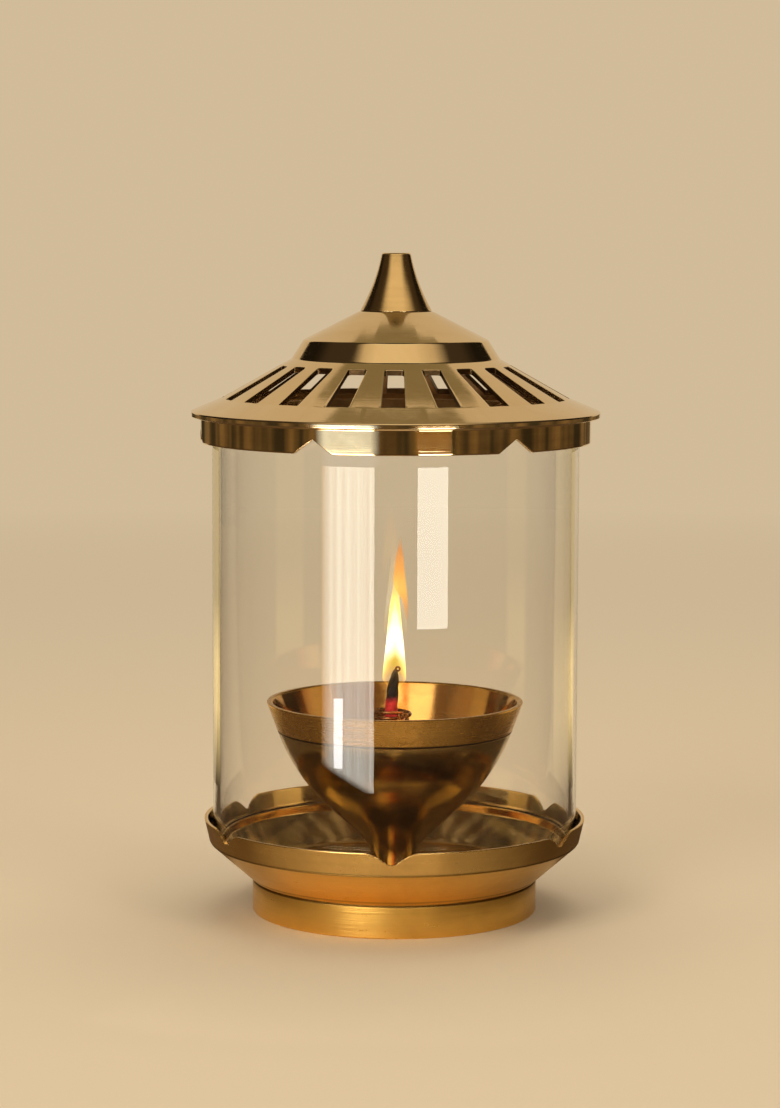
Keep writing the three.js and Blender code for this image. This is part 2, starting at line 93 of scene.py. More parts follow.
BOWL_WALL = 1.6 * MM
BOWL_GROOVE_HEIGHT = 43 * MM
BOWL_GROOVE_RADIUS = 35.4 * MM
BOWL_GROOVE_DEPTH = 0.4 * MM
BOWL_GROOVE_WIDTH = 0.7 * MM
BOWL_FLOOR = 18.1 * MM
STEM_RADIUS = 5.6 * MM
STEM_PULL = 14.9 * MM
BELLY_PULL = 29.2 * MM
SOCKET_RADIUS = 3.1 * MM
SOCKET_DEPTH = 9.9 * MM
OIL_LEVEL = 50 * MM
OIL_GAP = 0.05 * MM
OIL_CREEP = (2.4 * MM, 0.5 * MM)

CROWN_HEIGHT = 29.2 * MM
LID_SEAT = LID_HIGH.z - CROWN_HEIGHT
LID_WALL = 1.5 * MM
RIM_DROP = 1.09 * LID_WALL
SEAT_DROP = 1.12 * LID_WALL
CROWN_RADIUS = 10.9 * MM
CROWN_THICKNESS = 2.3 * MM
CROWN_BORE = 2.8 * MM
BAND_TOP = (27.6 * MM, 20.7 * MM)
BAND_FOOT = (31.2 * MM, 15 * MM)
BREAK = (52 * MM, 3.3 * MM)
LID_RIM = (LID_HIGH.x, -0.5 * MM)
LID_RIM_THICKNESS = 1.6 * MM
LID_RIM_DRAFT = 0.04 * MM
SEAT_INNER_RADIUS = 52.4 * MM
SKIRT_INNER_RADIUS = 56.9 * MM
SKIRT_OUTER_RADIUS = 58.4 * MM
SKIRT_TAPER = 0.4 * MM
SKIRT_NECK = 0.45 * MM
SKIRT_DROP = 9.7 * MM
SKIRT_NOTCHES = 6
SKIRT_NOTCH_HALF = np.radians(6)
SKIRT_NOTCH_HEIGHT = 4.2 * MM
SKIRT_NOTCH_TURN = np.radians(37)
SLOTS = 20
SLOT_INNER_RADIUS = 34.2 * MM
SLOT_OUTER_RADIUS = 51.7 * MM
SLOT_INNER_WIDTH = 5.6 * MM
SLOT_OUTER_WIDTH = 7 * MM
SLOT_CORNER = 0.8 * MM
SLOT_ZONE = (32.4 * MM, 52.2 * MM)
SLOT_EDGE = 0.12 * MM

FINIAL_BEVEL = 0.4 * MM
FINIAL_TOP_RADIUS = 4.4 * MM
FINIAL_WAIST = 0.75 * MM
FINIAL_BORE = (2.6 * MM, 10 * MM)

WIRE_RADIUS = 0.5 * MM
HOLDER_OFFSET = -1.2 * MM
HOLDER_STAGES = (
    # turns, rise, radius at the end
    (1.25, 2.1 * MM, 10.6 * MM),
    (2, 8.3 * MM, 2.85 * MM),
    (6, 15.1 * MM, 2.85 * MM),
    (0.75, 2.2 * MM, 5.9 * MM),
    (1.5, 2.5 * MM, 5.9 * MM),
)
HOLDER_EYE_RADIUS = 1.05 * MM
HOLDER_EYE_RUN = 3.6 * MM
HOLDER_EYE_TURN = np.radians(300)

WICK_RADIUS = 1.95 * MM
WICK_TIP_RADIUS = 0.3 * MM
WICK_TOP = WICK_HIGH.z + 1.2 * MM
WICK_LEAN = 1.5 * MM
WICK_FREE = 18.3 * MM
WICK_BEND = 2.2
WICK_CURL = 0.6 * MM
WICK_CURL_TURN = 1.7 * np.pi
WICK_STRANDS = 3
WICK_TWIST = 5.5 * MM
STRAND_GROOVE = 0.26
CHAR_RAGGED = 3.5 * MM
CHAR_FADE = (64.7 * MM, 66.7 * MM)
EMBER_FADE = (WICK_TOP - 0.4 * MM, WICK_TOP + 1.8 * MM)

# The flame's outlines: height, left edge and right edge in millimetres, from the foot up. Its wave
# and its hollow's soft edge and fade are in millimetres too.
FLAME_BODY = (
    (67, -3.5, 3.2), (70.5, -3.8, 3.4), (75.4, -3.3, 3.1), (81.9, -2.6, 2.5), (86.3, -2.2, 2.0),
    (92.8, -1.6, 1.4), (99.3, -0.8, 1.2), (104, 0.2, 1.1),
)
FLAME_TONGUE = (
    (87.5, 3.2, 4.0), (91, 2.7, 4.1), (94, 2.1, 3.9), (97, 0.4, 3.7), (99.3, -1.1, 3.5), (103.6, -0.4, 2.9),
    (108, 0.1, 2.6), (111.5, 0.7, 2.3), (114.5, 1.2, 1.9),
)
FLAME_HEART = ((77.5, -1.6, 1.5), (82.5, -2.1, 1.9), (86.3, -1.6, 1.5), (91, -0.9, 0.8), (95, -0.2, 0.3))
FLAME_BLUR = 1.6 * MM
FLAME_FOOT = 0.08
FLAME_TIP = 0.3
FLAME_DEPTH = 0.75
FLAME_WAVE = 4
FLAME_SIDE = 0.3
HOLLOW_ARCH = 1.6
HOLLOW_SOFT = 4
HOLLOW_FRONT = 0.04
HOLLOW_MIDDLE = 0.4 * MM
HOLLOW_FADE = (71, 79)
HOLLOW_LOW = (0.36, 0.16, 0.012)
HOLLOW_HIGH = (0.385, 0.30, 0.035)
FLAME_LIGHT_ENERGY = 0.035
FLAME_LIGHT_COLOUR = (1.0, 0.55, 0.2)
FLAME_LIGHT_RADIUS = 3 * MM
FLAME_LIGHT_PLACE = (0, -1 * MM, 82 * MM)


def smooth_step(share):
    """Rises from 0 to 1 with level ends: three times the square less twice the cube."""
    share = np.clip(share, 0, 1)
    return share * share * (3 - 2 * share)


def bezier(a, b, c, d, steps):
    """Points of the cubic curve from a to d that sets out towards b and comes in from c."""
    t = np.linspace(0, 1, steps + 1)[:, None]
    a, b, c, d = (np.asarray(point, float) for point in (a, b, c, d))
    return (1 - t) ** 3 * a + 3 * t * (1 - t) ** 2 * b + 3 * t * t * (1 - t) * c + t**3 * d


def parabola(a, b, c, t):
    """Points of the parabola from a to c that sets out towards b and comes in from it."""
    return (1 - t) ** 2 * a + 2 * t * (1 - t) * b + t * t * c


def beside(profile, distance):
    """A profile moved to its left: each point along the mean of its two sides' normals."""
    step = np.gradient(profile, axis=0)
    normal = np.stack([-step[:, 1], step[:, 0]], axis=1)
    return profile + distance * normal / np.linalg.norm(normal, axis=1)[:, None]


def sides_of(corners):
    """From each corner of a closed profile, the directions back and ahead and their lengths."""
    sides = [np.roll(corners, shift, axis=0) - corners for shift in (1, -1)]
    lengths = [np.linalg.norm(side, axis=1)[:, None] for side in sides]
    return sides[0] / lengths[0], sides[1] / lengths[1], *lengths


def softened(corners, fillets, closed=True):
    """A profile with soft corners, and a mask that is 1 on them. Each corner becomes the parabola
    that touches both its sides at the fillet's distance, in millimetres, and a further point beyond
    each end of it keeps the flat faces flat."""
    corners = np.asarray(corners, float)
    back, ahead, back_length, ahead_length = sides_of(corners)
    fillets = np.broadcast_to(np.asarray(fillets, float) * MM, len(corners))[:, None]
    fillets = np.minimum(fillets, FILLET_MOST * np.minimum(back_length, ahead_length))
    t = np.linspace(0, 1, FILLET_STEPS + 1)[None, :, None]
    start = (corners + back * fillets)[:, None]
    end = (corners + ahead * fillets)[:, None]
    arcs = parabola(start, corners[:, None], end, t)
    guards = [(corners + side * fillets * GUARD_AT)[:, None] for side in (back, ahead)]
    blocks = np.concatenate([guards[0], arcs, guards[1]], axis=1)
    mask = np.ones(blocks.shape[:2])
    mask[:, [0, -1]] = 0
    if closed:
        return blocks.reshape(-1, 2), mask.reshape(-1)
    points = np.concatenate([corners[:1], blocks[1:-1].reshape(-1, 2), corners[-1:]])
    return points, np.concatenate([[0], mask[1:-1].reshape(-1), [0]])


def polar(radius, height, turn):
    """Points at a radius and height, turned about the axis from the front."""
    radius, height, turn = np.broadcast_arrays(radius, height, turn)
    return np.stack([radius * np.sin(turn), -radius * np.cos(turn), height], axis=-1)


def full_turn(columns=COLUMNS):
    """The columns' turns, once round without the last, which is the first again."""
    return np.arange(columns) * 2 * np.pi / columns


def grid(points, edge=0.0, finish=0, loop=False):
    """A sheet of rows and columns of points. Its columns close on themselves, and its rows do so
    where it is a loop. Each row has an edge mask, and the faces from it to the next a finish."""
    rows = len(points)
    return {
        "points": points,
        "edge": np.broadcast_to(np.asarray(edge, float), rows),
        "finish": np.broadcast_to(np.asarray(finish, int), rows),
        "loop": loop,
    }


def turned(profile, edge=0.0, finish=0, loop=True, columns=COLUMNS):
    """A profile carried once round the axis."""
    profile = np.asarray(profile, float)
    points = polar(profile[:, :1], profile[:, 1:], full_turn(columns)[None])
    return grid(points, edge, finish, loop)


def grid_faces(sheet):
    """Four-sided faces between neighbouring rows and columns, numbered row by row."""
    rows, columns = sheet["points"].shape[:2]
    row = np.arange(rows if sheet["loop"] else rows - 1)[:, None]
    column = np.arange(columns)[None]
    next_row = (row + 1) % rows
    next_column = (column + 1) % columns
    corners = [
        row * columns + column,
        row * columns + next_column,
        next_row * columns + next_column,
        next_row * columns + column,
    ]
    faces = np.stack(np.broadcast_arrays(*corners), axis=-1)
    finish = np.broadcast_to(sheet["finish"][row], faces.shape[:2])
    return faces.reshape(-1, 4), finish.reshape(-1)


def joined(parts):
    """One profile of (points, edge mask, finish) parts, with its masks and finishes."""
    profile = np.concatenate([part[0] for part in parts])
    marks = [np.concatenate([np.broadcast_to(part[i], len(part[0])) for part in parts]) for i in (1, 2)]
    return profile, *marks


def put_in(name, data):
    """An object that shows a mesh, a light or a camera in the scene."""
    made = bpy.data.objects.new(name, data)
    bpy.context.scene.collection.objects.link(made)
    return made


def make_piece(name, sheets, materials, body, replaced=()):
    """One piece from sheets that share their borders: the points that meet are welded, the faces
    turned out and the corners under the smoothing angle shaded smooth."""
    faces, finishes, start = [], [], 0
    for sheet in sheets:
        quads, finish = grid_faces(sheet)
        faces.append(quads + start)
        finishes.append(finish)
        start += sheet["points"].shape[0] * sheet["points"].shape[1]
    points = np.concatenate([sheet["points"].reshape(-1, 3) for sheet in sheets])
    edges = [np.repeat(sheet["edge"], sheet["points"].shape[1]) for sheet in sheets]
    mesh = bpy.data.meshes.new(name)
    mesh.from_pydata(points.tolist(), [], np.concatenate(faces).tolist())
    mesh.attributes.new("edge", "FLOAT", "POINT").data.foreach_set("value", np.concatenate(edges))
    mesh.polygons.foreach_set("material_index", np.concatenate(finishes))
    welded = bmesh.new()
    welded.from_mesh(mesh)
    bmesh.ops.remove_doubles(welded, verts=welded.verts, dist=WELD)
    bmesh.ops.recalc_face_normals(welded, faces=welded.faces)
    welded.to_mesh(mesh)
    welded.free()
    for material in materials:
        mesh.materials.append(material)
    mesh.shade_smooth()
    mesh.set_sharp_from_angle(angle=SMOOTH_UNDER)
    piece = put_in(name, mesh)
    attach(piece, body)
    if replaced:
        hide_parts(*replaced)
    return piece


def tube(path, side, radius, sides=12):
    """A tube: at each point of a path, a circle square to it that starts at the side given. Its two
    ends close to a point."""
    along = np.gradient(path, axis=0)
    along /= np.linalg.norm(along, axis=1)[:, None]
    side = side - along * np.sum(side * along, axis=1)[:, None]
    side /= np.linalg.norm(side, axis=1)[:, None]
    across = np.cross(along, side)
    turn = full_turn(sides)[None, :, None]
    radius = np.broadcast_to(radius, (len(path), sides))[..., None]
    rings = path[:, None] + radius * (np.cos(turn) * side[:, None] + np.sin(turn) * across[:, None])
    caps = [np.repeat(path[[end]][:, None], sides, axis=1) for end in (0, -1)]
    return np.concatenate([caps[0], rings, caps[1]])


# Shader nodes


def give(tree, socket, value):
    """Gives an input its value: another node's output, a number, or a colour, whose alpha is 1."""
    if isinstance(value, bpy.types.NodeSocket):
        tree.links.new(value, socket)
    elif socket.type == "RGBA":
        socket.default_value = (*value, 1)
    else:
        socket.default_value = value


def fill(tree, made, **values):
    """Gives a node's inputs, named by their words, their values."""
    for key, value in values.items():
        give(tree, made.inputs[key.replace("_", " ").title().replace("Ior", "IOR")], value)
    return made


def add_node(tree, kind, **values):
    """A shader node with values for its inputs."""
    return fill(tree, tree.nodes.new(f"ShaderNode{kind}"), **values)


def operation(name, clamp=False):
    """A function that works out one operation of the Math node, on numbers and outputs."""
    def worked_out(tree, *values):
        """Puts the node into a tree and gives its output."""
        made = tree.nodes.new("ShaderNodeMath")
        made.operation = name
        made.use_clamp = clamp
        for socket, value in zip(made.inputs, values):
            give(tree, socket, value)
        return made.outputs[0]
    return worked_out


total = operation("ADD")
difference = operation("SUBTRACT")
what_is_left = operation("SUBTRACT", clamp=True)
product = operation("MULTIPLY")
product_plus = operation("MULTIPLY_ADD")
larger = operation("MAXIMUM")
smaller = operation("MINIMUM")
magnitude = operation("ABSOLUTE")
power = operation("POWER")
root = operation("SQRT")
angle_of = operation("ARCTAN2")
less_than = operation("LESS_THAN")


def mixed(tree, share, first, second):
    """A colour between two others."""
    made = tree.nodes.new("ShaderNodeMix")
    made.data_type = "RGBA"
    for socket, value in ((made.inputs[0], share), (made.inputs[6], first), (made.inputs[7], second)):
        give(tree, socket, value)
    return made.outputs[2]


def ramp(tree, value, low, high, bottom=0.0, top=1.0):
    """A value carried from the range low to high onto the range bottom to top, and held there."""
    made = add_node(tree, "MapRange", value=value, from_min=low, from_max=high, to_min=bottom, to_max=top)
    return made.outputs[0]


def object_place(tree):
    """Where a point of its piece is."""
    return tree.nodes.new("ShaderNodeTexCoord").outputs["Object"]


def apart(tree, vector):
    """The x, y and z of a vector."""
    return add_node(tree, "SeparateXYZ", vector=vector).outputs


def noise(tree, place, **values):
    """Noise at a place, 0 to 1, with its scale and detail."""
    return add_node(tree, "TexNoise", vector=place, **values).outputs[0]


def raised(tree, shader, height, depth):
    """Bumps a surface by a height from 0 to 1 that stands for a depth in metres."""
    bump = add_node(tree, "Bump", strength=1.0, distance=depth, height=height)
    fill(tree, shader, normal=bump.outputs[0])


def new_group(name, inputs, outputs):
    """An empty node group with number inputs and outputs, and its two end nodes."""
    group = bpy.data.node_groups.new(name, "ShaderNodeTree")
    for label, value in inputs.items():
        socket = group.interface.new_socket(label, in_out="INPUT", socket_type="NodeSocketFloat")
        socket.default_value = value
    for label in outputs:
        group.interface.new_socket(label, in_out="OUTPUT", socket_type="NodeSocketFloat")
    return group, group.nodes.new("NodeGroupInput").outputs, group.nodes.new("NodeGroupOutput")


def turning_marks_group():
    """The lathe's marks: noise on (radius, height), so that each mark is a circle round the axis,
    drifting a little with the turn. It puts out the fine marks and the broad bands, 0 to 1."""
    group, given, made = new_group(
        "turning_marks", {"Mark Scale": 2600.0, "Band Scale": 420.0, "Drift": 0.02}, ("Marks", "Bands")
    )
    x, y, z = apart(group, object_place(group))
    radius = root(group, total(group, product(group, x, x), product(group, y, y)))
    drift = product(group, total(group, x, y), given["Drift"])
    flat = add_node(group, "CombineXYZ", x=radius, y=z, z=drift).outputs[0]
    fine = noise(group, flat, scale=given["Mark Scale"], detail=2.0, roughness=0.6)
    broad = noise(group, flat, scale=given["Band Scale"], detail=3.0, roughness=0.6)
    fill(group, made, marks=ramp(group, fine, 0.3, 0.7), bands=ramp(group, broad, 0.3, 0.7))
    return group


def wear_group():
    """Handling: broad patches of tarnish, small dull smudges and sparse dark specks, 0 to 1."""
    group, given, made = new_group(
        "handling_wear", {"Patch Scale": 45.0, "Smudge Scale": 160.0}, ("Tarnish", "Smudges", "Specks")
    )
    place = object_place(group)
    patches = noise(group, place, scale=given["Patch Scale"], detail=5.0, roughness=0.62, distortion=0.6)
    dull = noise(group, place, scale=given["Smudge Scale"], detail=6.0, roughness=0.7, distortion=1.2)
    specks = noise(group, place, scale=1500.0, detail=2.0)
    fill(group, made, tarnish=ramp(group, patches, 0.38, 0.7), smudges=ramp(group, dull, 0.45, 0.75))
    fill(group, made, specks=ramp(group, specks, 0.72, 0.8))
    return group


def new_material(name, **values):
    """A material, its tree, and its Principled shader with values for the shader's inputs."""
    material = bpy.data.materials.new(name)
    material.use_nodes = True
    tree = material.node_tree
    return material, tree, fill(tree, tree.nodes["Principled BSDF"], **values)


def place_group(tree, group, **values):
    """A node group placed in a material, with its own values."""
    made = tree.nodes.new("ShaderNodeGroup")
    made.node_tree = group
    return fill(tree, made, **values).outputs


# The dark brass that grooves are painted towards, as painted shade in them, and how much it dulls them.
GROOVE_SHADE_COLOUR = (0.05, 0.028, 0.012)
GROOVE_SHADE_DULLING = 0.3
SPECK_SHADE = 0.35
EDGE_RUBBED = 0.7
MARKS_DULLING = 0.6
BAND_RISE = 0.8
SMUDGE_DULLING = 0.25
GROOVE_CORE = 0.3
FALLING = (1.0, 0.0)
TURNING_MARKS = turning_marks_group()
HANDLING_WEAR = wear_group()


def brass(name, fresh, tarnished, roughness, marks, marks_depth, tarnish, patch_scale, bands,
          grooves=(), dulling=0.08):
    """Turned brass: circles left by the tool in its height and gloss, tarnish in broad patches,
    smudges that dull it and corners rubbed bright. Grooves are (height, half width, darkness)
    lines round it, painted dark and dull as painted shade in them."""
    material, tree, shader = new_material(name, metallic=1)
    lathe = place_group(tree, TURNING_MARKS, mark_scale=marks)
    wear = place_group(tree, HANDLING_WEAR, patch_scale=patch_scale)
    edge = tree.nodes.new("ShaderNodeAttribute")
    edge.attribute_name = "edge"
    shade = product_plus(tree, lathe["Bands"], bands, product(tree, wear["Tarnish"], tarnish))
    shade = product_plus(tree, wear["Specks"], SPECK_SHADE, shade)
    shade = what_is_left(tree, shade, product(tree, edge.outputs["Fac"], EDGE_RUBBED))
    metal = mixed(tree, shade, fresh, tarnished)
    gloss = product_plus(tree, wear["Smudges"], dulling, roughness)
    gloss = product_plus(tree, lathe["Marks"], MARKS_DULLING * dulling, gloss)
    gloss = product_plus(tree, shade, dulling, gloss)
    # Painted shade: each groove is darkened towards a dark brass and dulled, in a soft line round it.
    if grooves:
        level = apart(tree, object_place(tree))[2]
        groove_shade = 0.0
        for groove, half, darkness in grooves:
            off = magnitude(tree, difference(tree, level, groove))
            groove_shade = larger(tree, ramp(tree, off, GROOVE_CORE * half, half, darkness, 0.0), groove_shade)
        metal = mixed(tree, groove_shade, metal, GROOVE_SHADE_COLOUR)
        gloss = product_plus(tree, groove_shade, GROOVE_SHADE_DULLING, gloss)
    fill(tree, shader, base_color=metal, roughness=gloss)
    raised(tree, shader, product_plus(tree, lathe["Bands"], BAND_RISE, lathe["Marks"]), marks_depth)
    return material


# Each brass has its colour fresh and tarnished, its roughness, the marks' scale and depth, the
# share of tarnish, the patches' scale, the share of broad bands, and any grooves, painted dark as painted
# shade.
LID_BRASS = brass(
    "lid_polished_brass", (0.84, 0.66, 0.40), (0.70, 0.50, 0.25), 0.045, 2600.0, 0.0015 * MM, 0.4, 40.0, 0.08
)
LID_SKIRT = brass(
    "lid_skirt_brass", (0.80, 0.60, 0.33), (0.44, 0.30, 0.15), 0.03, 2600.0, 0.002 * MM, 0.6, 55.0, 0.3,
    dulling=0.03,
)
# The lid's inside: a darker copy of the lid's brass, painted shade under the lid.
LID_INSIDE = brass(
    "lid_inside_painted_shade", (0.34, 0.20, 0.08), (0.12, 0.065, 0.03), 0.3, 2200.0, 0.014 * MM, 0.8, 50.0, 0.25
)
# The slots' narrow walls: very dark brass, painted shade in the slots.
SLOT_WALL = brass(
    "lid_slot_walls_painted_shade", (0.22, 0.13, 0.055), (0.05, 0.03, 0.015), 0.3, 2200.0, 0.006 * MM, 0.8, 90.0, 0.2
)
KNOB_BRASS = brass(
    "knob_brushed_brass", (0.84, 0.62, 0.32), (0.60, 0.42, 0.20), 0.14, 3200.0, 0.012 * MM, 0.35, 60.0, 0.25
)
TRAY_BRASS = brass(
    "tray_satin_brass", (0.83, 0.52, 0.13), (0.58, 0.345, 0.08), 0.26, 2600.0, 0.014 * MM, 0.5, 38.0, 0.2,
    ((CONE_TOP, 0.5 * MM, 0.6), (FOOT_HEIGHT + 0.2 * MM, 0.5 * MM, 0.75),
     (FOOT_HEIGHT + 1.7 * MM, 0.45 * MM, 0.35)),
)
TRAY_RIM = brass(
    "tray_rim_brass", (0.82, 0.54, 0.19), (0.56, 0.35, 0.12), 0.24, 2600.0, 0.014 * MM, 0.6, 50.0, 0.25,
    ((CONE_TOP, 0.55 * MM, 0.6),),
)
TRAY_MIRROR = brass(
    "tray_polished_inside", (0.72, 0.52, 0.26), (0.46, 0.32, 0.15), 0.05, 2600.0, 0.003 * MM, 0.4, 42.0, 0.08
)
BOWL_BAND = brass(
    "bowl_brushed_band", (0.72, 0.42, 0.11), (0.46, 0.25, 0.06), 0.2, 3000.0, 0.01 * MM, 0.5, 60.0, 0.25,
    ((BOWL_LOW.z + BOWL_GROOVE_HEIGHT + BOWL_GROOVE_WIDTH / 2, 0.6 * MM, 1.0),),
)
BOWL_BELLY = brass(
    "bowl_aged_belly", (0.58, 0.42, 0.17), (0.31, 0.21, 0.085), 0.1, 2600.0, 0.004 * MM, 0.45, 30.0, 0.5
)
BOWL_INSIDE = brass(
    "bowl_polished_inside", (0.80, 0.47, 0.17), (0.46, 0.24, 0.08), 0.07, 2600.0, 0.004 * MM, 0.5, 60.0, 0.15
)


def cloudy_metal(name, patch_scale, smudge_scale, bright, dull, roughness):
    """Metal in cloudy patches of two tones, with smudges that dull it."""
    material, tree, shader = new_material(name, metallic=1)
    wear = place_group(tree, HANDLING_WEAR, patch_scale=patch_scale, smudge_scale=smudge_scale)
    gloss = product_plus(tree, wear["Smudges"], SMUDGE_DULLING, roughness)
    fill(tree, shader, base_color=mixed(tree, wear["Tarnish"], bright, dull), roughness=gloss)
    return material


HOLDER_WIRE = cloudy_metal(
    "holder_heat_dulled_wire", 260.0, 900.0, (0.66, 0.34, 0.16), (0.16, 0.075, 0.04), 0.16
)
FIXING_ZINC = cloudy_metal("fixing_zinc_plate", 300.0, 700.0, (0.66, 0.66, 0.68), (0.42, 0.42, 0.41), 0.25)


def wick_material():
    """Red cotton, charred black above the oil, with a faint ember at the tip and fine fibres."""
    material, tree, shader = new_material("wick_charred_cotton", emission_strength=0.25)
    place = object_place(tree)
    fibres = noise(tree, place, scale=2400.0, detail=3.0, roughness=0.7)
    ragged = product_plus(tree, fibres, CHAR_RAGGED, apart(tree, place)[2])
    char = ramp(tree, ragged, *CHAR_FADE)
    ember = ramp(tree, ragged, *EMBER_FADE)
    cotton = mixed(tree, fibres, (0.36, 0.01, 0.012), (0.80, 0.05, 0.035))
    fill(tree, shader, base_color=mixed(tree, char, cotton, (0.006, 0.005, 0.005)))
    fill(tree, shader, roughness=ramp(tree, char, 0, 1, 0.85, 0.55))
    fill(tree, shader, emission_color=mixed(tree, ember, (0.0, 0.0, 0.0), (1.0, 0.16, 0.02)))
    raised(tree, shader, fibres, 0.12 * MM)
    return material


def glass_material():
    """Clear glass, very slightly warm in its depth, with a faint unevenness from drawing."""
    material, tree, shader = new_material(
        "clear_drawn_glass", base_color=(0.995, 0.99, 0.975), roughness=0, ior=1.473, transmission_weight=1
    )
    stretched = add_node(tree, "Mapping", vector=object_place(tree), scale=(1, 1, 0.06)).outputs[0]
    raised(tree, shader, noise(tree, stretched, scale=55.0, detail=1.0), 0.03 * MM)
    return material


def oil_material():
    """Clear amber oil with a faint ripple."""
    material, tree, shader = new_material(
        "lamp_oil", base_color=(0.95, 0.72, 0.32), roughness=0.02, ior=1.47, transmission_weight=1
    )
    raised(tree, shader, noise(tree, object_place(tree), scale=60.0, detail=0.0), 0.02 * MM)
    return material


def flame_material(name, colours, cover, strength, open_below=None):
    """A skin of fire that glows. Colours and cover are (height, value) steps in millimetres, softly
    joined, with streaks that waver, and it fades at its sides. Below the height open_below it is
    the wall of a hollow flame instead: bright at its sides, thin in front of the wick and gold
    behind it, under an arch that is a sum of the height and the distance sideways."""
    material, tree, shader = new_material(
        name, base_color=(0, 0, 0), roughness=1, specular_ior_level=0, emission_strength=strength
    )
    coordinates = tree.nodes.new("ShaderNodeTexCoord").outputs
    x, y, z = apart(tree, coordinates["Object"])
    streaks = noise(tree, coordinates["Object"], scale=260.0, detail=1.0)
    waved = product_plus(tree, streaks, FLAME_WAVE * MM, z)

    def rise(measure, low, high, bottom=0.0, top=1.0):
        """A ramp between two heights in millimetres, with the streaks' mean added to both."""
        mean = FLAME_WAVE / 2
        return ramp(tree, measure, (low + mean) * MM, (high + mean) * MM, bottom, top)

    colour, opacity = colours[0][1], cover[0][1]
    for (low, _), (high, value) in zip(colours, colours[1:]):
        colour = mixed(tree, rise(waved, low, high), colour, value)
    for (low, before), (high, value) in zip(cover, cover[1:]):
        opacity = total(tree, rise(waved, low, high, 0.0, value - before), opacity)
    sideways = power(tree, magnitude(tree, apart(tree, coordinates["Normal"])[0]), 2.0)
    if open_below:
        arch = product_plus(tree, magnitude(tree, x), HOLLOW_ARCH, waved)
        closed = rise(arch, open_below - HOLLOW_SOFT, open_below + HOLLOW_SOFT)
        behind = ramp(tree, y, -HOLLOW_MIDDLE, HOLLOW_MIDDLE, HOLLOW_FRONT, 1.0)
        wall = larger(tree, larger(tree, sideways, behind), closed)
        opacity = product(tree, opacity, wall)
        hollow = mixed(tree, rise(waved, *HOLLOW_FADE), HOLLOW_LOW, HOLLOW_HIGH)
        colour = mixed(tree, larger(tree, sideways, closed), hollow, colour)
    else:
        opacity = product(tree, opacity, ramp(tree, sideways, FLAME_SIDE, 1, *FALLING))
    fill(tree, shader, emission_color=colour, alpha=opacity)
    return material


# Tray


def rim_outside(height):
    """The rim's outer face leans out evenly with height."""
    return GLASS_RADIUS + RIM_CLEARANCE + RIM_WALL + RIM_LEAN * (height - LEDGE)


def tray_notch_depth(turn):
    """How far the rim is cut down: two curves that fall to the flat bottom of each notch, which is
    ragged where it was filed."""
    pitch = 2 * np.pi / TRAY_NOTCHES
    sideways = rim_outside(TRAY_HIGH.z) * np.sin((turn + pitch / 2) % pitch - pitch / 2)
    share = (TRAY_NOTCH_WIDTH / 2 - np.abs(sideways)) / (TRAY_NOTCH_WIDTH / 2 - TRAY_NOTCH_FLAT / 2)
    share = np.clip(share, 0, 1)
    depth = 2 * TRAY_NOTCH_SHOULDER * share * (1 - share) + TRAY_NOTCH_DEPTH * share**2
    ragged = np.sin(turn * 431 + 1.3) + np.sin(turn * 263 + 0.4) * np.sin(turn * 97)
    return depth + TRAY_NOTCH_RAGGED * ragged * smooth_step((share - 0.6) / 0.3)


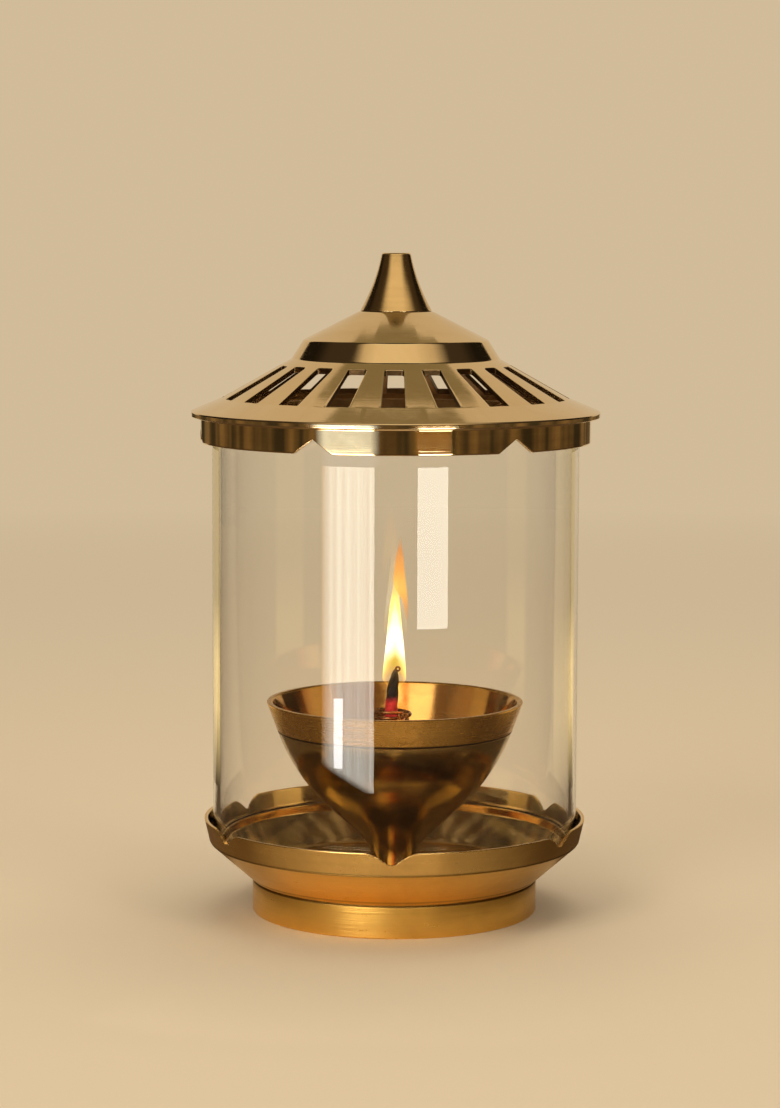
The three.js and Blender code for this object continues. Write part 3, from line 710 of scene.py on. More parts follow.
def make_tray():
    """Foot ring, underside, cone, leaning rim with notches, ledge and a polished well."""
    cone_foot = np.array([FOOT_RADIUS + FOOT_GROOVE, FOOT_HEIGHT + 2 * FOOT_GROOVE])
    cone_top = np.array([rim_outside(CONE_TOP), CONE_TOP])
    cone = (cone_top - cone_foot) / np.linalg.norm(cone_top - cone_foot)
    inward = np.array([-cone[1], cone[0]])
    inner_foot = cone_foot + inward * TRAY_WALL
    inner_radius = GLASS_RADIUS - GLASS_WALL - LEDGE_LIP
    inner_top = inner_foot + cone * (inner_radius - inner_foot[0]) / cone[0]
    inner_floor = inner_foot + cone * (TRAY_FLOOR - inner_foot[1]) / cone[1]
    top = TRAY_HIGH.z
    corners = [
        # radius, height, fillet, finish: 0 satin, 1 polished, 2 the rim's own
        (TRAY_BORE, TRAY_UNDERSIDE, 0.1, 0),
        (FOOT_RADIUS - FOOT_WALL, TRAY_UNDERSIDE, 0.8, 0),
        (FOOT_RADIUS - FOOT_WALL, 0, 0.3, 0),
        (FOOT_RADIUS, 0, 0.35, 0),
        (FOOT_RADIUS, FOOT_HEIGHT, 0.12, 0),
        (FOOT_RADIUS - FOOT_GROOVE, FOOT_HEIGHT + FOOT_GROOVE, 0.08, 0),
        (*cone_foot, 0.15, 0),
        (*(cone_top - cone * CONE_LINE), 0.05, 0),
        (*(cone_top + inward * CONE_LINE), 0.05, 0),
        (rim_outside(CONE_TOP + CONE_LINE), CONE_TOP + CONE_LINE, 0.05, 2),
        (rim_outside(top), top, 0.28, 2),
        (rim_outside(top) - RIM_WALL, top, 0.28, 1),
        (rim_outside(LEDGE) - RIM_WALL, LEDGE, 0.3, 1),
        (inner_radius, LEDGE, 0.35, 1),
        (*inner_top, 0.3, 1),
        (*inner_floor, 1.4, 1),
        (TRAY_BORE, TRAY_FLOOR, 0.1, 0),
    ]
    profile, edge = softened([c[:2] for c in corners], [c[2] for c in corners])
    finish = np.repeat([c[3] for c in corners], CORNER_POINTS)
    grooved = np.isin(np.arange(len(corners)), (4, 5, 6, 7, 8, 9)).repeat(CORNER_POINTS)
    edge = np.where(grooved, 0, edge)
    turn = full_turn(2 * COLUMNS)[None]
    radius, height = profile[:, :1], profile[:, 1:]
    on_rim = np.clip((height - LEDGE - RIM_WALL) / (top - LEDGE - RIM_WALL), 0, 1)
    drop = on_rim * tray_notch_depth(turn)
    points = polar(radius - RIM_LEAN * drop, height - drop, turn)
    sheets = [grid(points, edge, finish, loop=True)]
    finishes = [TRAY_BRASS, TRAY_MIRROR, TRAY_RIM]
    make_piece("tray_shell", sheets, finishes, "tray", ["base_tray"])


# Oil bowl


def bowl_side(steps=72):
    """The side's curve from the stem's foot, where it rises straight up, to the groove, where it
    is in line with the band above."""
    rim = np.array([BOWL_HIGH.x, BOWL_HIGH.z])
    groove = np.array([BOWL_GROOVE_RADIUS, BOWL_LOW.z + BOWL_GROOVE_HEIGHT])
    foot = np.array([STEM_RADIUS, BOWL_LOW.z])
    band = (rim - groove) / np.linalg.norm(rim - groove)
    side = bezier(foot, foot + (0, STEM_PULL), groove - band * BELLY_PULL, groove, steps)
    return side, groove, band, rim


def bowl_inside():
    """The inside keeps the wall's thickness to the belly and the band, above the bowl's floor."""
    side, _, band, rim = bowl_side()
    outside = np.concatenate([side, [rim, rim + band * MM]])
    wall = beside(outside, BOWL_WALL)
    floor = BOWL_LOW.z + BOWL_FLOOR
    reach = np.interp(floor, wall[:, 1], wall[:, 0])
    top = np.interp(rim[1], wall[:, 1], wall[:, 0])
    inside = wall[(wall[:, 1] > floor) & (wall[:, 1] < rim[1] - MM)]
    return np.array([reach, floor]), inside, np.array([top, rim[1]])


def make_bowl():
    """Stem, belly, groove and band outside, the same curve inside, and a round socket below."""
    side, groove, band, rim = bowl_side()
    inward = np.array([-band[1], band[0]])
    floor, inside, inner_rim = bowl_inside()
    foot = BOWL_LOW.z
    stem = softened(
        [(0, foot + SOCKET_DEPTH), (SOCKET_RADIUS, foot + SOCKET_DEPTH), (SOCKET_RADIUS, foot),
         side[0], side[4]],
        [0, 0.1, 0.1, 0.3, 0], closed=False,
    )
    lip = softened(
        [groove, groove + band * BOWL_GROOVE_WIDTH / 2 + inward * BOWL_GROOVE_DEPTH,
         groove + band * BOWL_GROOVE_WIDTH, rim, inner_rim, inside[-1]],
        [0, 0.08, 0.1, 0.4, 0.4, 0], closed=False,
    )
    well = softened([inside[3], floor, (0, floor[1])], [0, 1.6, 0], closed=False)
    lip_edge = np.where(np.arange(len(lip[0])) < 2 * CORNER_POINTS + 1, 0, lip[1])
    lip_finish = np.where(np.arange(len(lip[0])) < 4 * CORNER_POINTS, 0, 2)
    parts = [
        (stem[0], stem[1], 1),
        (side[5:-1], 0, 1),
        (lip[0][:-1], lip_edge[:-1], lip_finish[:-1]),
        (inside[:3:-1], 0, 2),
        (well[0], well[1], 2),
    ]
    sheets = [turned(*joined(parts), loop=False, columns=240)]
    make_piece("bowl_shell", sheets, [BOWL_BAND, BOWL_BELLY, BOWL_INSIDE], "bowl", ["oil_bowl"])


def make_oil():
    """Oil from the bowl's floor up to its level, a hair inside the wall, its rim drawn up."""
    floor, inside, _ = bowl_inside()
    wall = np.concatenate([[floor], inside])
    wall[:, 0] -= OIL_GAP
    wall[:, 1] += OIL_GAP
    below = wall[wall[:, 1] < OIL_LEVEL]
    reach = np.interp(OIL_LEVEL, wall[:, 1], wall[:, 0])
    inward = np.linspace(0, 1, 6)
    surface = np.stack([reach - OIL_CREEP[0] * inward, OIL_LEVEL + OIL_CREEP[1] * (1 - inward) ** 2], axis=1)
    profile = np.concatenate([[(0, floor[1] + OIL_GAP)], below, surface, [(0, OIL_LEVEL)]])
    oil = make_piece("oil_fill", [turned(profile, loop=False, columns=120)], [oil_material()], "bowl")
    oil.visible_shadow = False


# Glass


def make_glass():
    """A plain tube, both ends ground flat with rounded edges."""
    inner = GLASS_RADIUS - GLASS_WALL
    corners = [
        (inner, GLASS_LOW.z), (GLASS_RADIUS, GLASS_LOW.z), (GLASS_RADIUS, GLASS_HIGH.z), (inner, GLASS_HIGH.z)
    ]
    profile, edge = softened(corners, GLASS_FILLET)
    glass = make_piece(
        "glass_tube", [turned(profile, edge, columns=240)], [glass_material()], "shade",
        ["glass_chimney"],
    )
    glass.visible_shadow = False


# Lid


def lid_outside_height(radius):
    """The slotted cone's height over the seat, and the flatter rim's beyond the break."""
    corners = np.array([BAND_FOOT, BREAK, LID_RIM])
    return LID_SEAT + np.interp(radius, corners[:, 0], corners[:, 1])


def lid_inside_drop():
    """How far the inside lies straight below the slotted cone, for an even wall."""
    rise, run = BAND_FOOT[1] - BREAK[1], BREAK[0] - BAND_FOOT[0]
    return LID_WALL * np.hypot(rise, run) / run


def slot_outline(sides=24, ends=14, corner=4):
    """One slot round its edge, anticlockwise from its inner left: (sideways, radius) points. Its
    corners are parabolas, and its four straight stretches are cut into equal steps."""
    corners = np.array([
        (-SLOT_INNER_WIDTH / 2, SLOT_INNER_RADIUS),
        (-SLOT_OUTER_WIDTH / 2, SLOT_OUTER_RADIUS),
        (SLOT_OUTER_WIDTH / 2, SLOT_OUTER_RADIUS),
        (SLOT_INNER_WIDTH / 2, SLOT_INNER_RADIUS),
    ])
    back, ahead, *_ = sides_of(corners)
    start = corners + SLOT_CORNER * back
    end = corners + SLOT_CORNER * ahead
    t = np.linspace(0, 1, corner + 1)[:, None]
    arcs = [parabola(start[i], corners[i], end[i], t) for i in range(4)]
    half = corner // 2
    points = []
    for i, steps in enumerate((sides, ends, sides, ends)):
        following = (i + 1) % 4
        share = np.linspace(0, 1, steps + 1)[:-1, None]
        straight = end[i] + share * (start[following] - end[i])
        points += [arcs[i][half:-1], straight, arcs[following][:half]]
    return np.concatenate(points)


def sector_outline(sides=28, ends=18):
    """The border of one slot's share of the cone, in step with the slot's outline, as
    (turn, radius) points."""
    half = np.pi / SLOTS
    inner, outer = SLOT_ZONE
    left = np.linspace(0, 1, sides, endpoint=False)
    across = np.linspace(-half, half, ends, endpoint=False)
    return np.concatenate([
        np.stack([np.full(sides, -half), inner + left * (outer - inner)], axis=1),
        np.stack([across, np.full(ends, outer)], axis=1),
        np.stack([np.full(sides, half), outer - left * (outer - inner)], axis=1),
        np.stack([-across, np.full(ends, inner)], axis=1),
    ])


def slotted_zone():
    """The cone between two rings with its slots cut through: for each slot a sheet outside from
    the sector's border to the slot's edge, down the slot's wall and back out along the inside."""
    slot = slot_outline()
    slot_turn = np.arctan2(slot[:, 0], slot[:, 1])
    slot_radius = np.hypot(slot[:, 0], slot[:, 1])
    border = sector_outline()
    share = np.array([0, 0.3, 0.6, 0.82, 0.93])[:, None]
    turn = border[:, 0] + share * (slot_turn - border[:, 0])
    radius = border[:, 1] + share * (slot_radius - border[:, 1])
    height = lid_outside_height(radius)
    low = height - lid_inside_drop()
    low[0] = np.where(radius[0] > BREAK[0], lid_outside_height(radius[0]) - RIM_DROP, low[0])
    wall_turn = np.stack([slot_turn] * 4)
    wall_radius = np.stack([slot_radius] * 4)
    top = lid_outside_height(slot_radius)
    bottom = top - lid_inside_drop()
    wall_height = np.stack([top - SLOT_EDGE, top - 3 * SLOT_EDGE, bottom + 3 * SLOT_EDGE, bottom + SLOT_EDGE])
    turn = np.concatenate([turn, wall_turn, turn[::-1]])
    radius = np.concatenate([radius, wall_radius, radius[::-1]])
    height = np.concatenate([height, wall_height, low[::-1]])
    edge = np.concatenate([[0, 0, 0, 0, 0.6], [1, 0, 0, 0], np.zeros(5)])
    finish = np.concatenate([np.zeros(5), np.full(4, 3), np.full(5, 2)])
    sheets = []
    for i in range(SLOTS):
        points = polar(radius, height, turn + i * 2 * np.pi / SLOTS)
        sheets.append(grid(points, edge, finish))
    return sheets


def make_lid():
    """Crown, cone and band, the slotted cone, and the rim with its notched skirt. The corners'
    heights are over the seat."""
    inner, outer = SLOT_ZONE
    zone_foot = lid_outside_height(inner) - LID_SEAT
    zone_end = lid_outside_height(outer) - LID_SEAT
    outline = np.array([(CROWN_RADIUS, CROWN_HEIGHT), BAND_TOP, BAND_FOOT, (inner, zone_foot)])
    side = np.diff(outline, axis=0)
    normal = np.stack([side[:, 1], -side[:, 0]], axis=1) / np.linalg.norm(side, axis=1)[:, None]

    def meet(i):
        """Where the insides of two neighbouring sides cross."""
        mitre = normal[i] + normal[i + 1]
        return outline[i + 1] + mitre * LID_WALL / (1 + normal[i] @ normal[i + 1])

    crown_under = CROWN_HEIGHT - CROWN_THICKNESS
    cone_start = outline[0] + normal[0] * LID_WALL
    slope = (outline[1] - outline[0]) / (outline[1] - outline[0])[1]
    crown_inner = cone_start + slope * (crown_under - cone_start[1])
    top_corners = np.array([
        (inner, zone_foot - lid_inside_drop()), meet(1), meet(0), crown_inner, (CROWN_BORE, crown_under),
        (CROWN_BORE, CROWN_HEIGHT), (CROWN_RADIUS, CROWN_HEIGHT), BAND_TOP, BAND_FOOT, (inner, zone_foot),
    ]) + (0, LID_SEAT)
    top_fillets = [0, 0.5, 0.5, 0.6, 0.1, 0.1, 0.25, 0.35, 0.3, 0]
    top, top_edge = softened(top_corners, top_fillets, closed=False)
    top_finish = np.repeat([2, 2, 2, 2, 2, 2, 0, 0, 0, 0], CORNER_POINTS)[CORNER_POINTS - 1:]
    rim_bottom = LID_RIM[1] - LID_RIM_THICKNESS
    low_corners = np.array([
        (outer, zone_end), LID_RIM, (LID_RIM[0] - LID_RIM_DRAFT, rim_bottom),
        (SKIRT_OUTER_RADIUS + SKIRT_TAPER, rim_bottom),
        (SKIRT_OUTER_RADIUS + 0.1 * SKIRT_TAPER, rim_bottom - SKIRT_NECK), (SKIRT_OUTER_RADIUS, -SKIRT_DROP),
        (SKIRT_INNER_RADIUS, -SKIRT_DROP), (SKIRT_INNER_RADIUS, 0), (SEAT_INNER_RADIUS, 0),
        (SEAT_INNER_RADIUS, zone_end - SEAT_DROP), (outer, zone_end - RIM_DROP),
    ]) + (0, LID_SEAT)
    low_fillets = [0, 0.4, 0.25, 0.1, 0.15, 0.3, 0.3, 0.4, 0.2, 0.02, 0]
    low, low_edge = softened(low_corners, low_fillets, closed=False)
    low_finish = np.repeat([0, 0, 0, 1, 1, 1, 2, 2, 2, 2, 2], CORNER_POINTS)[CORNER_POINTS - 1:]
    turn = full_turn()[None]
    pitch = 2 * np.pi / SKIRT_NOTCHES
    from_notch = np.abs((turn - SKIRT_NOTCH_TURN + pitch / 2) % pitch - pitch / 2)
    lift = SKIRT_NOTCH_HEIGHT * np.clip(1 - from_notch / SKIRT_NOTCH_HALF, 0, 1)
    radius, height = low[:, :1], low[:, 1:]
    skirt_top = LID_SEAT + rim_bottom - MM
    on_skirt = np.clip((skirt_top - height) / (skirt_top - LID_LOW.z), 0, 1)
    low_points = polar(radius, height + on_skirt * lift, turn)
    sheets = [
        turned(top, top_edge, top_finish[:len(top)], loop=False),
        *slotted_zone(),
        grid(low_points, low_edge, low_finish[:len(low)]),
    ]
    finishes = [LID_BRASS, LID_SKIRT, LID_INSIDE, SLOT_WALL]
    make_piece("lid_shell", sheets, finishes, "lid_body", ["lid"])


def make_finial():
    """The knob: its side is drawn in at mid height, and its screw hole is blind."""
    foot = np.array([FINIAL_HIGH.x, FINIAL_LOW.z])
    top = np.array([FINIAL_TOP_RADIUS, FINIAL_HIGH.z - FINIAL_BEVEL])
    middle = (foot + top) / 2 - (2 * FINIAL_WAIST, 0)
    side = parabola(foot, middle, top, np.linspace(0, 1, 40)[:, None])
    bore_radius, bore_depth = FINIAL_BORE
    bore_top = foot[1] + bore_depth
    below = softened(
        [(0, bore_top), (bore_radius, bore_top), (bore_radius, foot[1]), foot, side[2]],
        [0, 0.1, 0.1, 0.25, 0], closed=False,
    )
    above = softened(
        [side[-3], top, (FINIAL_TOP_RADIUS - FINIAL_BEVEL, FINIAL_HIGH.z), (0, FINIAL_HIGH.z)],
        [0, 0.2, 0.2, 0], closed=False,
    )
    parts = [(*below, 0), (side[3:-3], 0, 0), (*above, 0)]
    sheets = [turned(*joined(parts), loop=False, columns=180)]
    make_piece("finial_knob", sheets, [KNOB_BRASS], "lid_body", ["finial"])


# Wick holder and wick


def make_holder():
    """A wire: a coil whose radius and height run through the stages, then a straight run to the
    right and a small rolled eye."""
    steps = 40
    all_turns = sum(stage[0] for stage in HOLDER_STAGES)
    turned_so_far, height, radius = -all_turns, HOLDER_LOW.z + WIRE_RADIUS, HOLDER_STAGES[0][2]
    pieces = []
    for turns, rise, end_radius in HOLDER_STAGES:
        share = np.arange(int(turns * steps)) / (turns * steps)
        angle = (turned_so_far + share * turns) * 2 * np.pi
        reach = radius + (end_radius - radius) * smooth_step(share)
        pieces.append(polar(reach, height + share * rise, angle))
        turned_so_far += turns
        height += rise
        radius = end_radius
    coil = np.concatenate(pieces)
    coil_side = polar(np.ones(len(coil)), 0, np.arctan2(coil[:, 0], -coil[:, 1]))
    start = np.array([0, -radius, height])
    roll = np.linspace(0, HOLDER_EYE_TURN, 28)
    run = start + np.linspace(0, 1, 10)[:-1, None] * np.array([HOLDER_EYE_RUN, 0, 0])
    eye = start + np.stack([
        HOLDER_EYE_RUN + np.sin(roll) * HOLDER_EYE_RADIUS,
        np.zeros(len(roll)),
        (np.cos(roll) - 1) * HOLDER_EYE_RADIUS,
    ], axis=1)
    path = np.concatenate([coil, run, eye]) + np.array([HOLDER_OFFSET, 0, 0])
    side = np.concatenate([coil_side, np.tile([0.0, -1.0, 0.0], (len(run) + len(eye), 1))])
    radius = np.full((len(path), 1), WIRE_RADIUS)
    radius[[0, -1]] = WIRE_RADIUS * 0.8
    sheets = [grid(tube(path, side, radius))]
    make_piece("holder_wire_coil", sheets, [HOLDER_WIRE], "wick_stand", ["wick_holder"])


def wick_line(steps=110):
    """Straight up through the holder, then leaning to the right as the height's power, and at the
    tip round a small curl. It gives the path and how far each point is along its free end."""
    height = np.linspace(WICK_LOW.z, WICK_TOP - 2 * WICK_CURL, steps)
    free = np.clip((height - WICK_TOP + 2 * WICK_CURL + WICK_FREE) / WICK_FREE, 0, 1)
    rise = np.stack([HOLDER_OFFSET + WICK_LEAN * free**WICK_BEND, 0 * height, height], axis=1)
    turn = np.linspace(0, WICK_CURL_TURN, 18)[1:]
    bend = np.stack([1 - np.cos(turn), 0 * turn, np.sin(turn)], axis=1) * WICK_CURL
    return np.concatenate([rise, rise[-1] + bend]), np.concatenate([free, np.ones(len(turn))])


def make_wick():
    """Twisted cotton: a round cord with a groove between its strands, which wind about it as it
    rises, thinning over its free end."""
    path, free = wick_line()
    sides = 40
    turn = full_turn(sides)[None]
    along = np.concatenate([[0], np.cumsum(np.linalg.norm(np.diff(path, axis=0), axis=1))])[:, None]
    winding = WICK_STRANDS * turn / 2 - np.pi * along / WICK_TWIST
    strand = 1 - STRAND_GROOVE + STRAND_GROOVE * np.abs(np.cos(winding)) ** 0.6
    frayed = 1 + 0.04 * np.sin(turn * 7 + along * 3100) * np.sin(turn * 3 - along * 5200)
    full = (1 - free[:, None] ** 5) ** 0.8
    radius = (WICK_TIP_RADIUS + (WICK_RADIUS - WICK_TIP_RADIUS) * full) * strand * frayed
    side = np.tile([0.0, 1.0, 0.0], (len(path), 1))
    sheets = [grid(tube(path, side, radius, sides))]
    make_piece("wick_cord", sheets, [wick_material()], "wick_thread", ["wick"])


# Flame


def flame_skin(outline, steps=70):
    """A skin between a left and a right edge: the edges run smoothly through the outline's points,
    each level is an ellipse between them, and both ends round off to a point."""
    heights, left, right = np.array(outline).T * MM
    level = np.linspace(heights[0], heights[-1], steps)
    blur = np.exp(-((level[:, None] - level[None]) / FLAME_BLUR) ** 2)
    blur /= blur.sum(axis=1, keepdims=True)
    left, right = (blur @ np.interp(level, heights, edge) for edge in (left, right))
    share = np.linspace(0, 1, steps)
    rounding = np.minimum(1, share / FLAME_FOOT) ** 0.5 * np.minimum(1, (1 - share) / FLAME_TIP) ** 0.6
    middle, half = (left + right) / 2, (right - left) / 2 * rounding
    turn = full_turn(48)[None]
    x = middle[:, None] + half[:, None] * np.sin(turn)
    y = -FLAME_DEPTH * half[:, None] * np.cos(turn)
    return np.stack([x, y, np.broadcast_to(level[:, None], x.shape)], axis=-1)


def make_flame():
    """The bright body, hollow round the wick, a white heart in it and a red-gold tongue above."""
    white, yellow, gold = (1, 0.93, 0.66), (1, 0.70, 0.20), (1, 0.55, 0.10)
    amber, red = (1, 0.42, 0.07), (0.85, 0.26, 0.02)
    skins = (
        # name, outline, colours and cover at heights, strength, height that it is hollow below
        ("flame_tongue", FLAME_TONGUE, ((88, red), (94, amber), (98, gold), (103, amber), (109, red)),
         ((87, 0.0), (92, 0.3), (97, 0.65), (104, 0.6), (109, 0.35), (114, 0.0)), 1.2, None),
        ("flame_body", FLAME_BODY, ((68, amber), (74, yellow), (80, white), (88, yellow), (97, amber)),
         ((66, 0.0), (70, 0.25), (72, 0.6), (75, 0.88), (80, 0.92), (90, 0.62), (96, 0.4), (103, 0.0)),
         2.6, 80),
        ("flame_heart", FLAME_HEART, ((77, gold), (81, yellow), (85, white), (95, yellow)),
         ((77, 0.0), (81, 0.35), (85, 0.9), (89, 0.8), (95, 0.0)), 3.2, None),
    )
    for name, outline, colours, cover, strength, open_below in skins:
        material = flame_material(name, colours, cover, strength, open_below)
        flame = make_piece(name, [grid(flame_skin(outline))], [material], "wick_thread")
        flame.visible_shadow = False
    data = bpy.data.lights.new("flame_light", "POINT")
    data.energy = FLAME_LIGHT_ENERGY
    data.color = FLAME_LIGHT_COLOUR
    data.shadow_soft_size = FLAME_LIGHT_RADIUS
    light = put_in("flame_light", data)
    light.location = FLAME_LIGHT_PLACE
    light.visible_camera = False
    light.visible_glossy = False
    light.visible_transmission = False


def dress_fixings():
    """The screw, stud, nut and washers keep their own shapes and get zinc plate."""
    for node in ("bowl_stud", "stud_nut", "stud_washer", "finial_screw", "finial_washer"):
        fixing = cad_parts[node]
        for slot in fixing.material_slots:
            slot.material = FIXING_ZINC


# Studio

CAMERA_DISTANCE = 908.3 * MM
CAMERA_HEIGHT = 207.36 * MM
CAMERA_ASIDE = -1.593 * MM
CAMERA_PITCH = np.radians(6.2419)
CAMERA_ROLL = np.radians(0.18175)
CAMERA_TURN = np.radians(0.9)
FOCAL_PIXELS = 3036.67
IMAGE_HEIGHT = 1108
SENSOR = 36.0

PALE = (0.64, 0.50, 0.32)
ROOM_LIGHT = 0.55
FLOOR_RADIUS = 9
FLOOR_FADE = (0.3, 1.3)
LIGHT_AIM = (0, 0, 0.09)

# The rays that meet a card: those that metal and glass mirror, and those out through the glass.
MIRRORED = (True, False)
THROUGH_GLASS = (False, True)
BOTH = (True, True)

DOME_RADIUS = 1.2
DOME_TURN = 142
DOME_TOP = 74
CARD_LIFT = 0.001
NEAR_FLOOR = (0.06, 0.16)
SHADE_HEIGHT = 0.24
SHADE_BACK = 0.0545
SHADE_RINGS = (0.0295, 0.0332, 0.06)
STRIP_RADIUS = 0.24
STRIP_TOP = 0.1235
BOWL_CARD_RADIUS = 0.4
BOWL_FRONT_RADIUS = 1.0
RIM_CARD_RADIUS = 0.08
WINDOW_SILL = (0.38, 0.62)
SIDE_FADE = (0.74, 0.94)
RIM_GLOW_FOOT = (0.03, 0.055)
RIM_GLOW_TOP = (0.07, 0.09)
RIM_GLOW_ABOVE = 0.45
STRIP_FOOT = (0.0045, 0.0075)
STRIP_SLANT = 0.02

# Turns in degrees between which a tone changes, and those in the middle of the skirt's bands.
ROOM_CORNER = (98, 112)
ROOM_LIT_LEFT = (-66, -52)
ROOM_LIT_RIGHT = (62, 82)
WINDOW_SIDE = (33, 57)
FLOOR_SIDE = (30, 75)
STRIP_LEFT = (-40, -33.5)
WARM_MIDDLE, WARM_SIDE = 20, (8, 10)
WINDOW_MIDDLE, SKIRT_WINDOW_SIDE = -24, (12, 17)
BOWL_WINDOW_LEFT = (-44, -41)
BOWL_GLOW_LEFT = (-17, -12)
BOWL_GLOW_RIGHT = (-4, 6)

WINDOW_TONE = (0.88, 0.70, 0.44)
SIDE_TONE = (0.055, 0.035, 0.018)
CORNER_TONE = (0.014, 0.010, 0.006)
UPPER_TONE = (0.66, 0.51, 0.31)
UPPER_SIDE_TONE = (0.05, 0.035, 0.02)
CEILING_TONE = (0.05, 0.05, 0.04)
FLOOR_FRONT_TONE = (0.60, 0.44, 0.26)
FLOOR_SIDE_TONE = (0.16, 0.10, 0.05)
FLOOR_FAR_TONE = (0.10, 0.06, 0.03)
SHADE_TONE = (0.26, 0.20, 0.10)
FAR_GREEN = (0.025, 0.027, 0.018)
FAR_BROWN = (0.30, 0.185, 0.085)
SKIRT_DARK = (0.05, 0.038, 0.019)
SKIRT_BROWN = (0.24, 0.15, 0.06)
SKIRT_WARM = (0.36, 0.20, 0.06)
SKIRT_WINDOW = (1.2, 1.36, 1.55)
RIM_GOLD = (1.1, 0.8, 0.34)
STRIP_TONE = (1, 0.95, 0.82)
STRIP_DIM = (0.74, 0.66, 0.54)
STRIP_EDGE = (0.22, 0.11, 0.035)
BRIGHT_STRIP_TONE = (1, 0.98, 0.95)
WARM_STRIP_TONE = (1, 0.96, 0.84)
BOWL_FRONT_BROWN = (0.20, 0.11, 0.045)
BOWL_FRONT_WINDOW = (2.4, 2.0, 1.3)
BOWL_FRONT_GLOW = (1.7, 0.5, 0.08)
BOWL_CARD_TONE = (0.42, 0.27, 0.13)


def make_camera():
    """The photo's viewpoint: a long lens a little above the lid, looking slightly down."""
    data = bpy.data.cameras.new("camera")
    data.sensor_width = SENSOR
    data.lens = FOCAL_PIXELS * SENSOR / IMAGE_HEIGHT
    data.clip_start = 0.05
    data.clip_end = 60
    camera = put_in("camera", data)
    place = Matrix.Translation((CAMERA_ASIDE, -CAMERA_DISTANCE, CAMERA_HEIGHT))
    look = Matrix.Rotation(np.pi / 2 - CAMERA_PITCH, 4, "X") @ Matrix.Rotation(CAMERA_ROLL, 4, "Z")
    camera.matrix_world = Matrix.Rotation(CAMERA_TURN, 4, "Z") @ place @ look
    bpy.context.scene.camera = camera


def stage_wall(name, turns, rings, material, columns, met_by, back=0.0):
    """A curved card that only mirrored rays meet, from one turn to another and through (radius,
    height) rings, about the lamp's axis or one that stands back from it."""
    turn = np.radians(np.linspace(*turns, columns))[None]
    rings = np.array(rings)
    points = polar(rings[:, :1], rings[:, 1:], turn) + (0, back, 0)
    row = np.arange(len(rings) - 1)[:, None] * columns
    column = np.arange(columns - 1)[None]
    corners = (row + column, row + column + 1, row + columns + column + 1, row + columns + column)
    faces = np.stack(corners, axis=-1).reshape(-1, 4)
    mesh = bpy.data.meshes.new(name)
    mesh.from_pydata(points.reshape(-1, 3).tolist(), [], faces.tolist())
    mesh.materials.append(material)
    card = put_in(name, mesh)
    card.visible_camera = False
    card.visible_diffuse = False
    card.visible_shadow = False
    card.visible_glossy, card.visible_transmission = met_by


def mix_shaders(tree, share, first, second, end="Material Output"):
    """Sends a mix of two shaders to a tree's end."""
    made = tree.nodes.new("ShaderNodeMixShader")
    for socket, source in zip(made.inputs, (share, first, second)):
        tree.links.new(source, socket)
    tree.links.new(made.outputs[0], tree.nodes[end].inputs["Surface"])


def stage_material(name, strength):
    """A material that glows for mirrored rays, and lets pass those that come straight from the
    camera through the glass."""
    material, tree, shader = new_material(
        name, base_color=(0, 0, 0), specular_ior_level=0, emission_strength=strength
    )
    bounces = tree.nodes.new("ShaderNodeLightPath").outputs["Glossy Depth"]
    clear = tree.nodes.new("ShaderNodeBsdfTransparent").outputs[0]
    mix_shaders(tree, less_than(tree, bounces, 0.5), shader.outputs[0], clear)
    return material, tree, shader


def stage_tone(name, build, strength=1):
    """A card's material whose glow is worked out from where it is: the build gets the tree, the
    turn from the front in radians and the height."""
    material, tree, shader = stage_material(name, strength)
    x, y, z = apart(tree, object_place(tree))
    turn = angle_of(tree, x, product(tree, y, -1.0))
    fill(tree, shader, emission_color=build(tree, turn, z))
    return material


def glowing(name, colour, strength=1):
    """A card's material of one colour."""
    material, tree, shader = stage_material(name, strength)
    fill(tree, shader, emission_color=colour)
    return material


def turn_ramp(tree, turn, span, bottom=0.0, top=1.0):
    """A ramp over a turn, between two angles in degrees."""
    return ramp(tree, turn, *np.radians(span).tolist(), bottom, top)


def turn_from(tree, turn, middle):
    """How far a turn is to either side of one in degrees."""
    return magnitude(tree, total(tree, turn, np.radians(-middle).item()))


def upright_bands(tree, turn, scale, low, high):
    """Upright bands from 0 to 1: noise on the turn alone."""
    flat = add_node(tree, "CombineXYZ", x=turn).outputs[0]
    return ramp(tree, noise(tree, flat, scale=scale, detail=2.0), low, high)


def room_tone(tree, turn, height):
    """Brown at the sides and black behind them, higher up pale from the middle to the right, with
    a window in front."""
    away = magnitude(tree, turn)
    dark = mixed(tree, turn_ramp(tree, away, ROOM_CORNER), SIDE_TONE, CORNER_TONE)
    lit = turn_ramp(tree, turn, ROOM_LIT_LEFT)
    lit = smaller(tree, lit, turn_ramp(tree, turn, ROOM_LIT_RIGHT, *FALLING))
    upper = mixed(tree, lit, UPPER_SIDE_TONE, UPPER_TONE)
    wall = mixed(tree, ramp(tree, height, *SIDE_FADE), dark, upper)
    window = turn_ramp(tree, away, WINDOW_SIDE, *FALLING)
    window = product(tree, window, ramp(tree, height, *WINDOW_SILL))
    return mixed(tree, window, wall, WINDOW_TONE)


def floor_tone(tree, turn, _):
    """The floor's own pale in front, brown at the sides."""
    away = magnitude(tree, turn)
    return mixed(tree, turn_ramp(tree, away, FLOOR_SIDE), FLOOR_FRONT_TONE, FLOOR_SIDE_TONE)


def far_room_tone(tree, turn, _):
    """Upright stripes of dark green and brown."""
    return mixed(tree, upright_bands(tree, turn, 14.0, 0.46, 0.57), FAR_GREEN, FAR_BROWN)


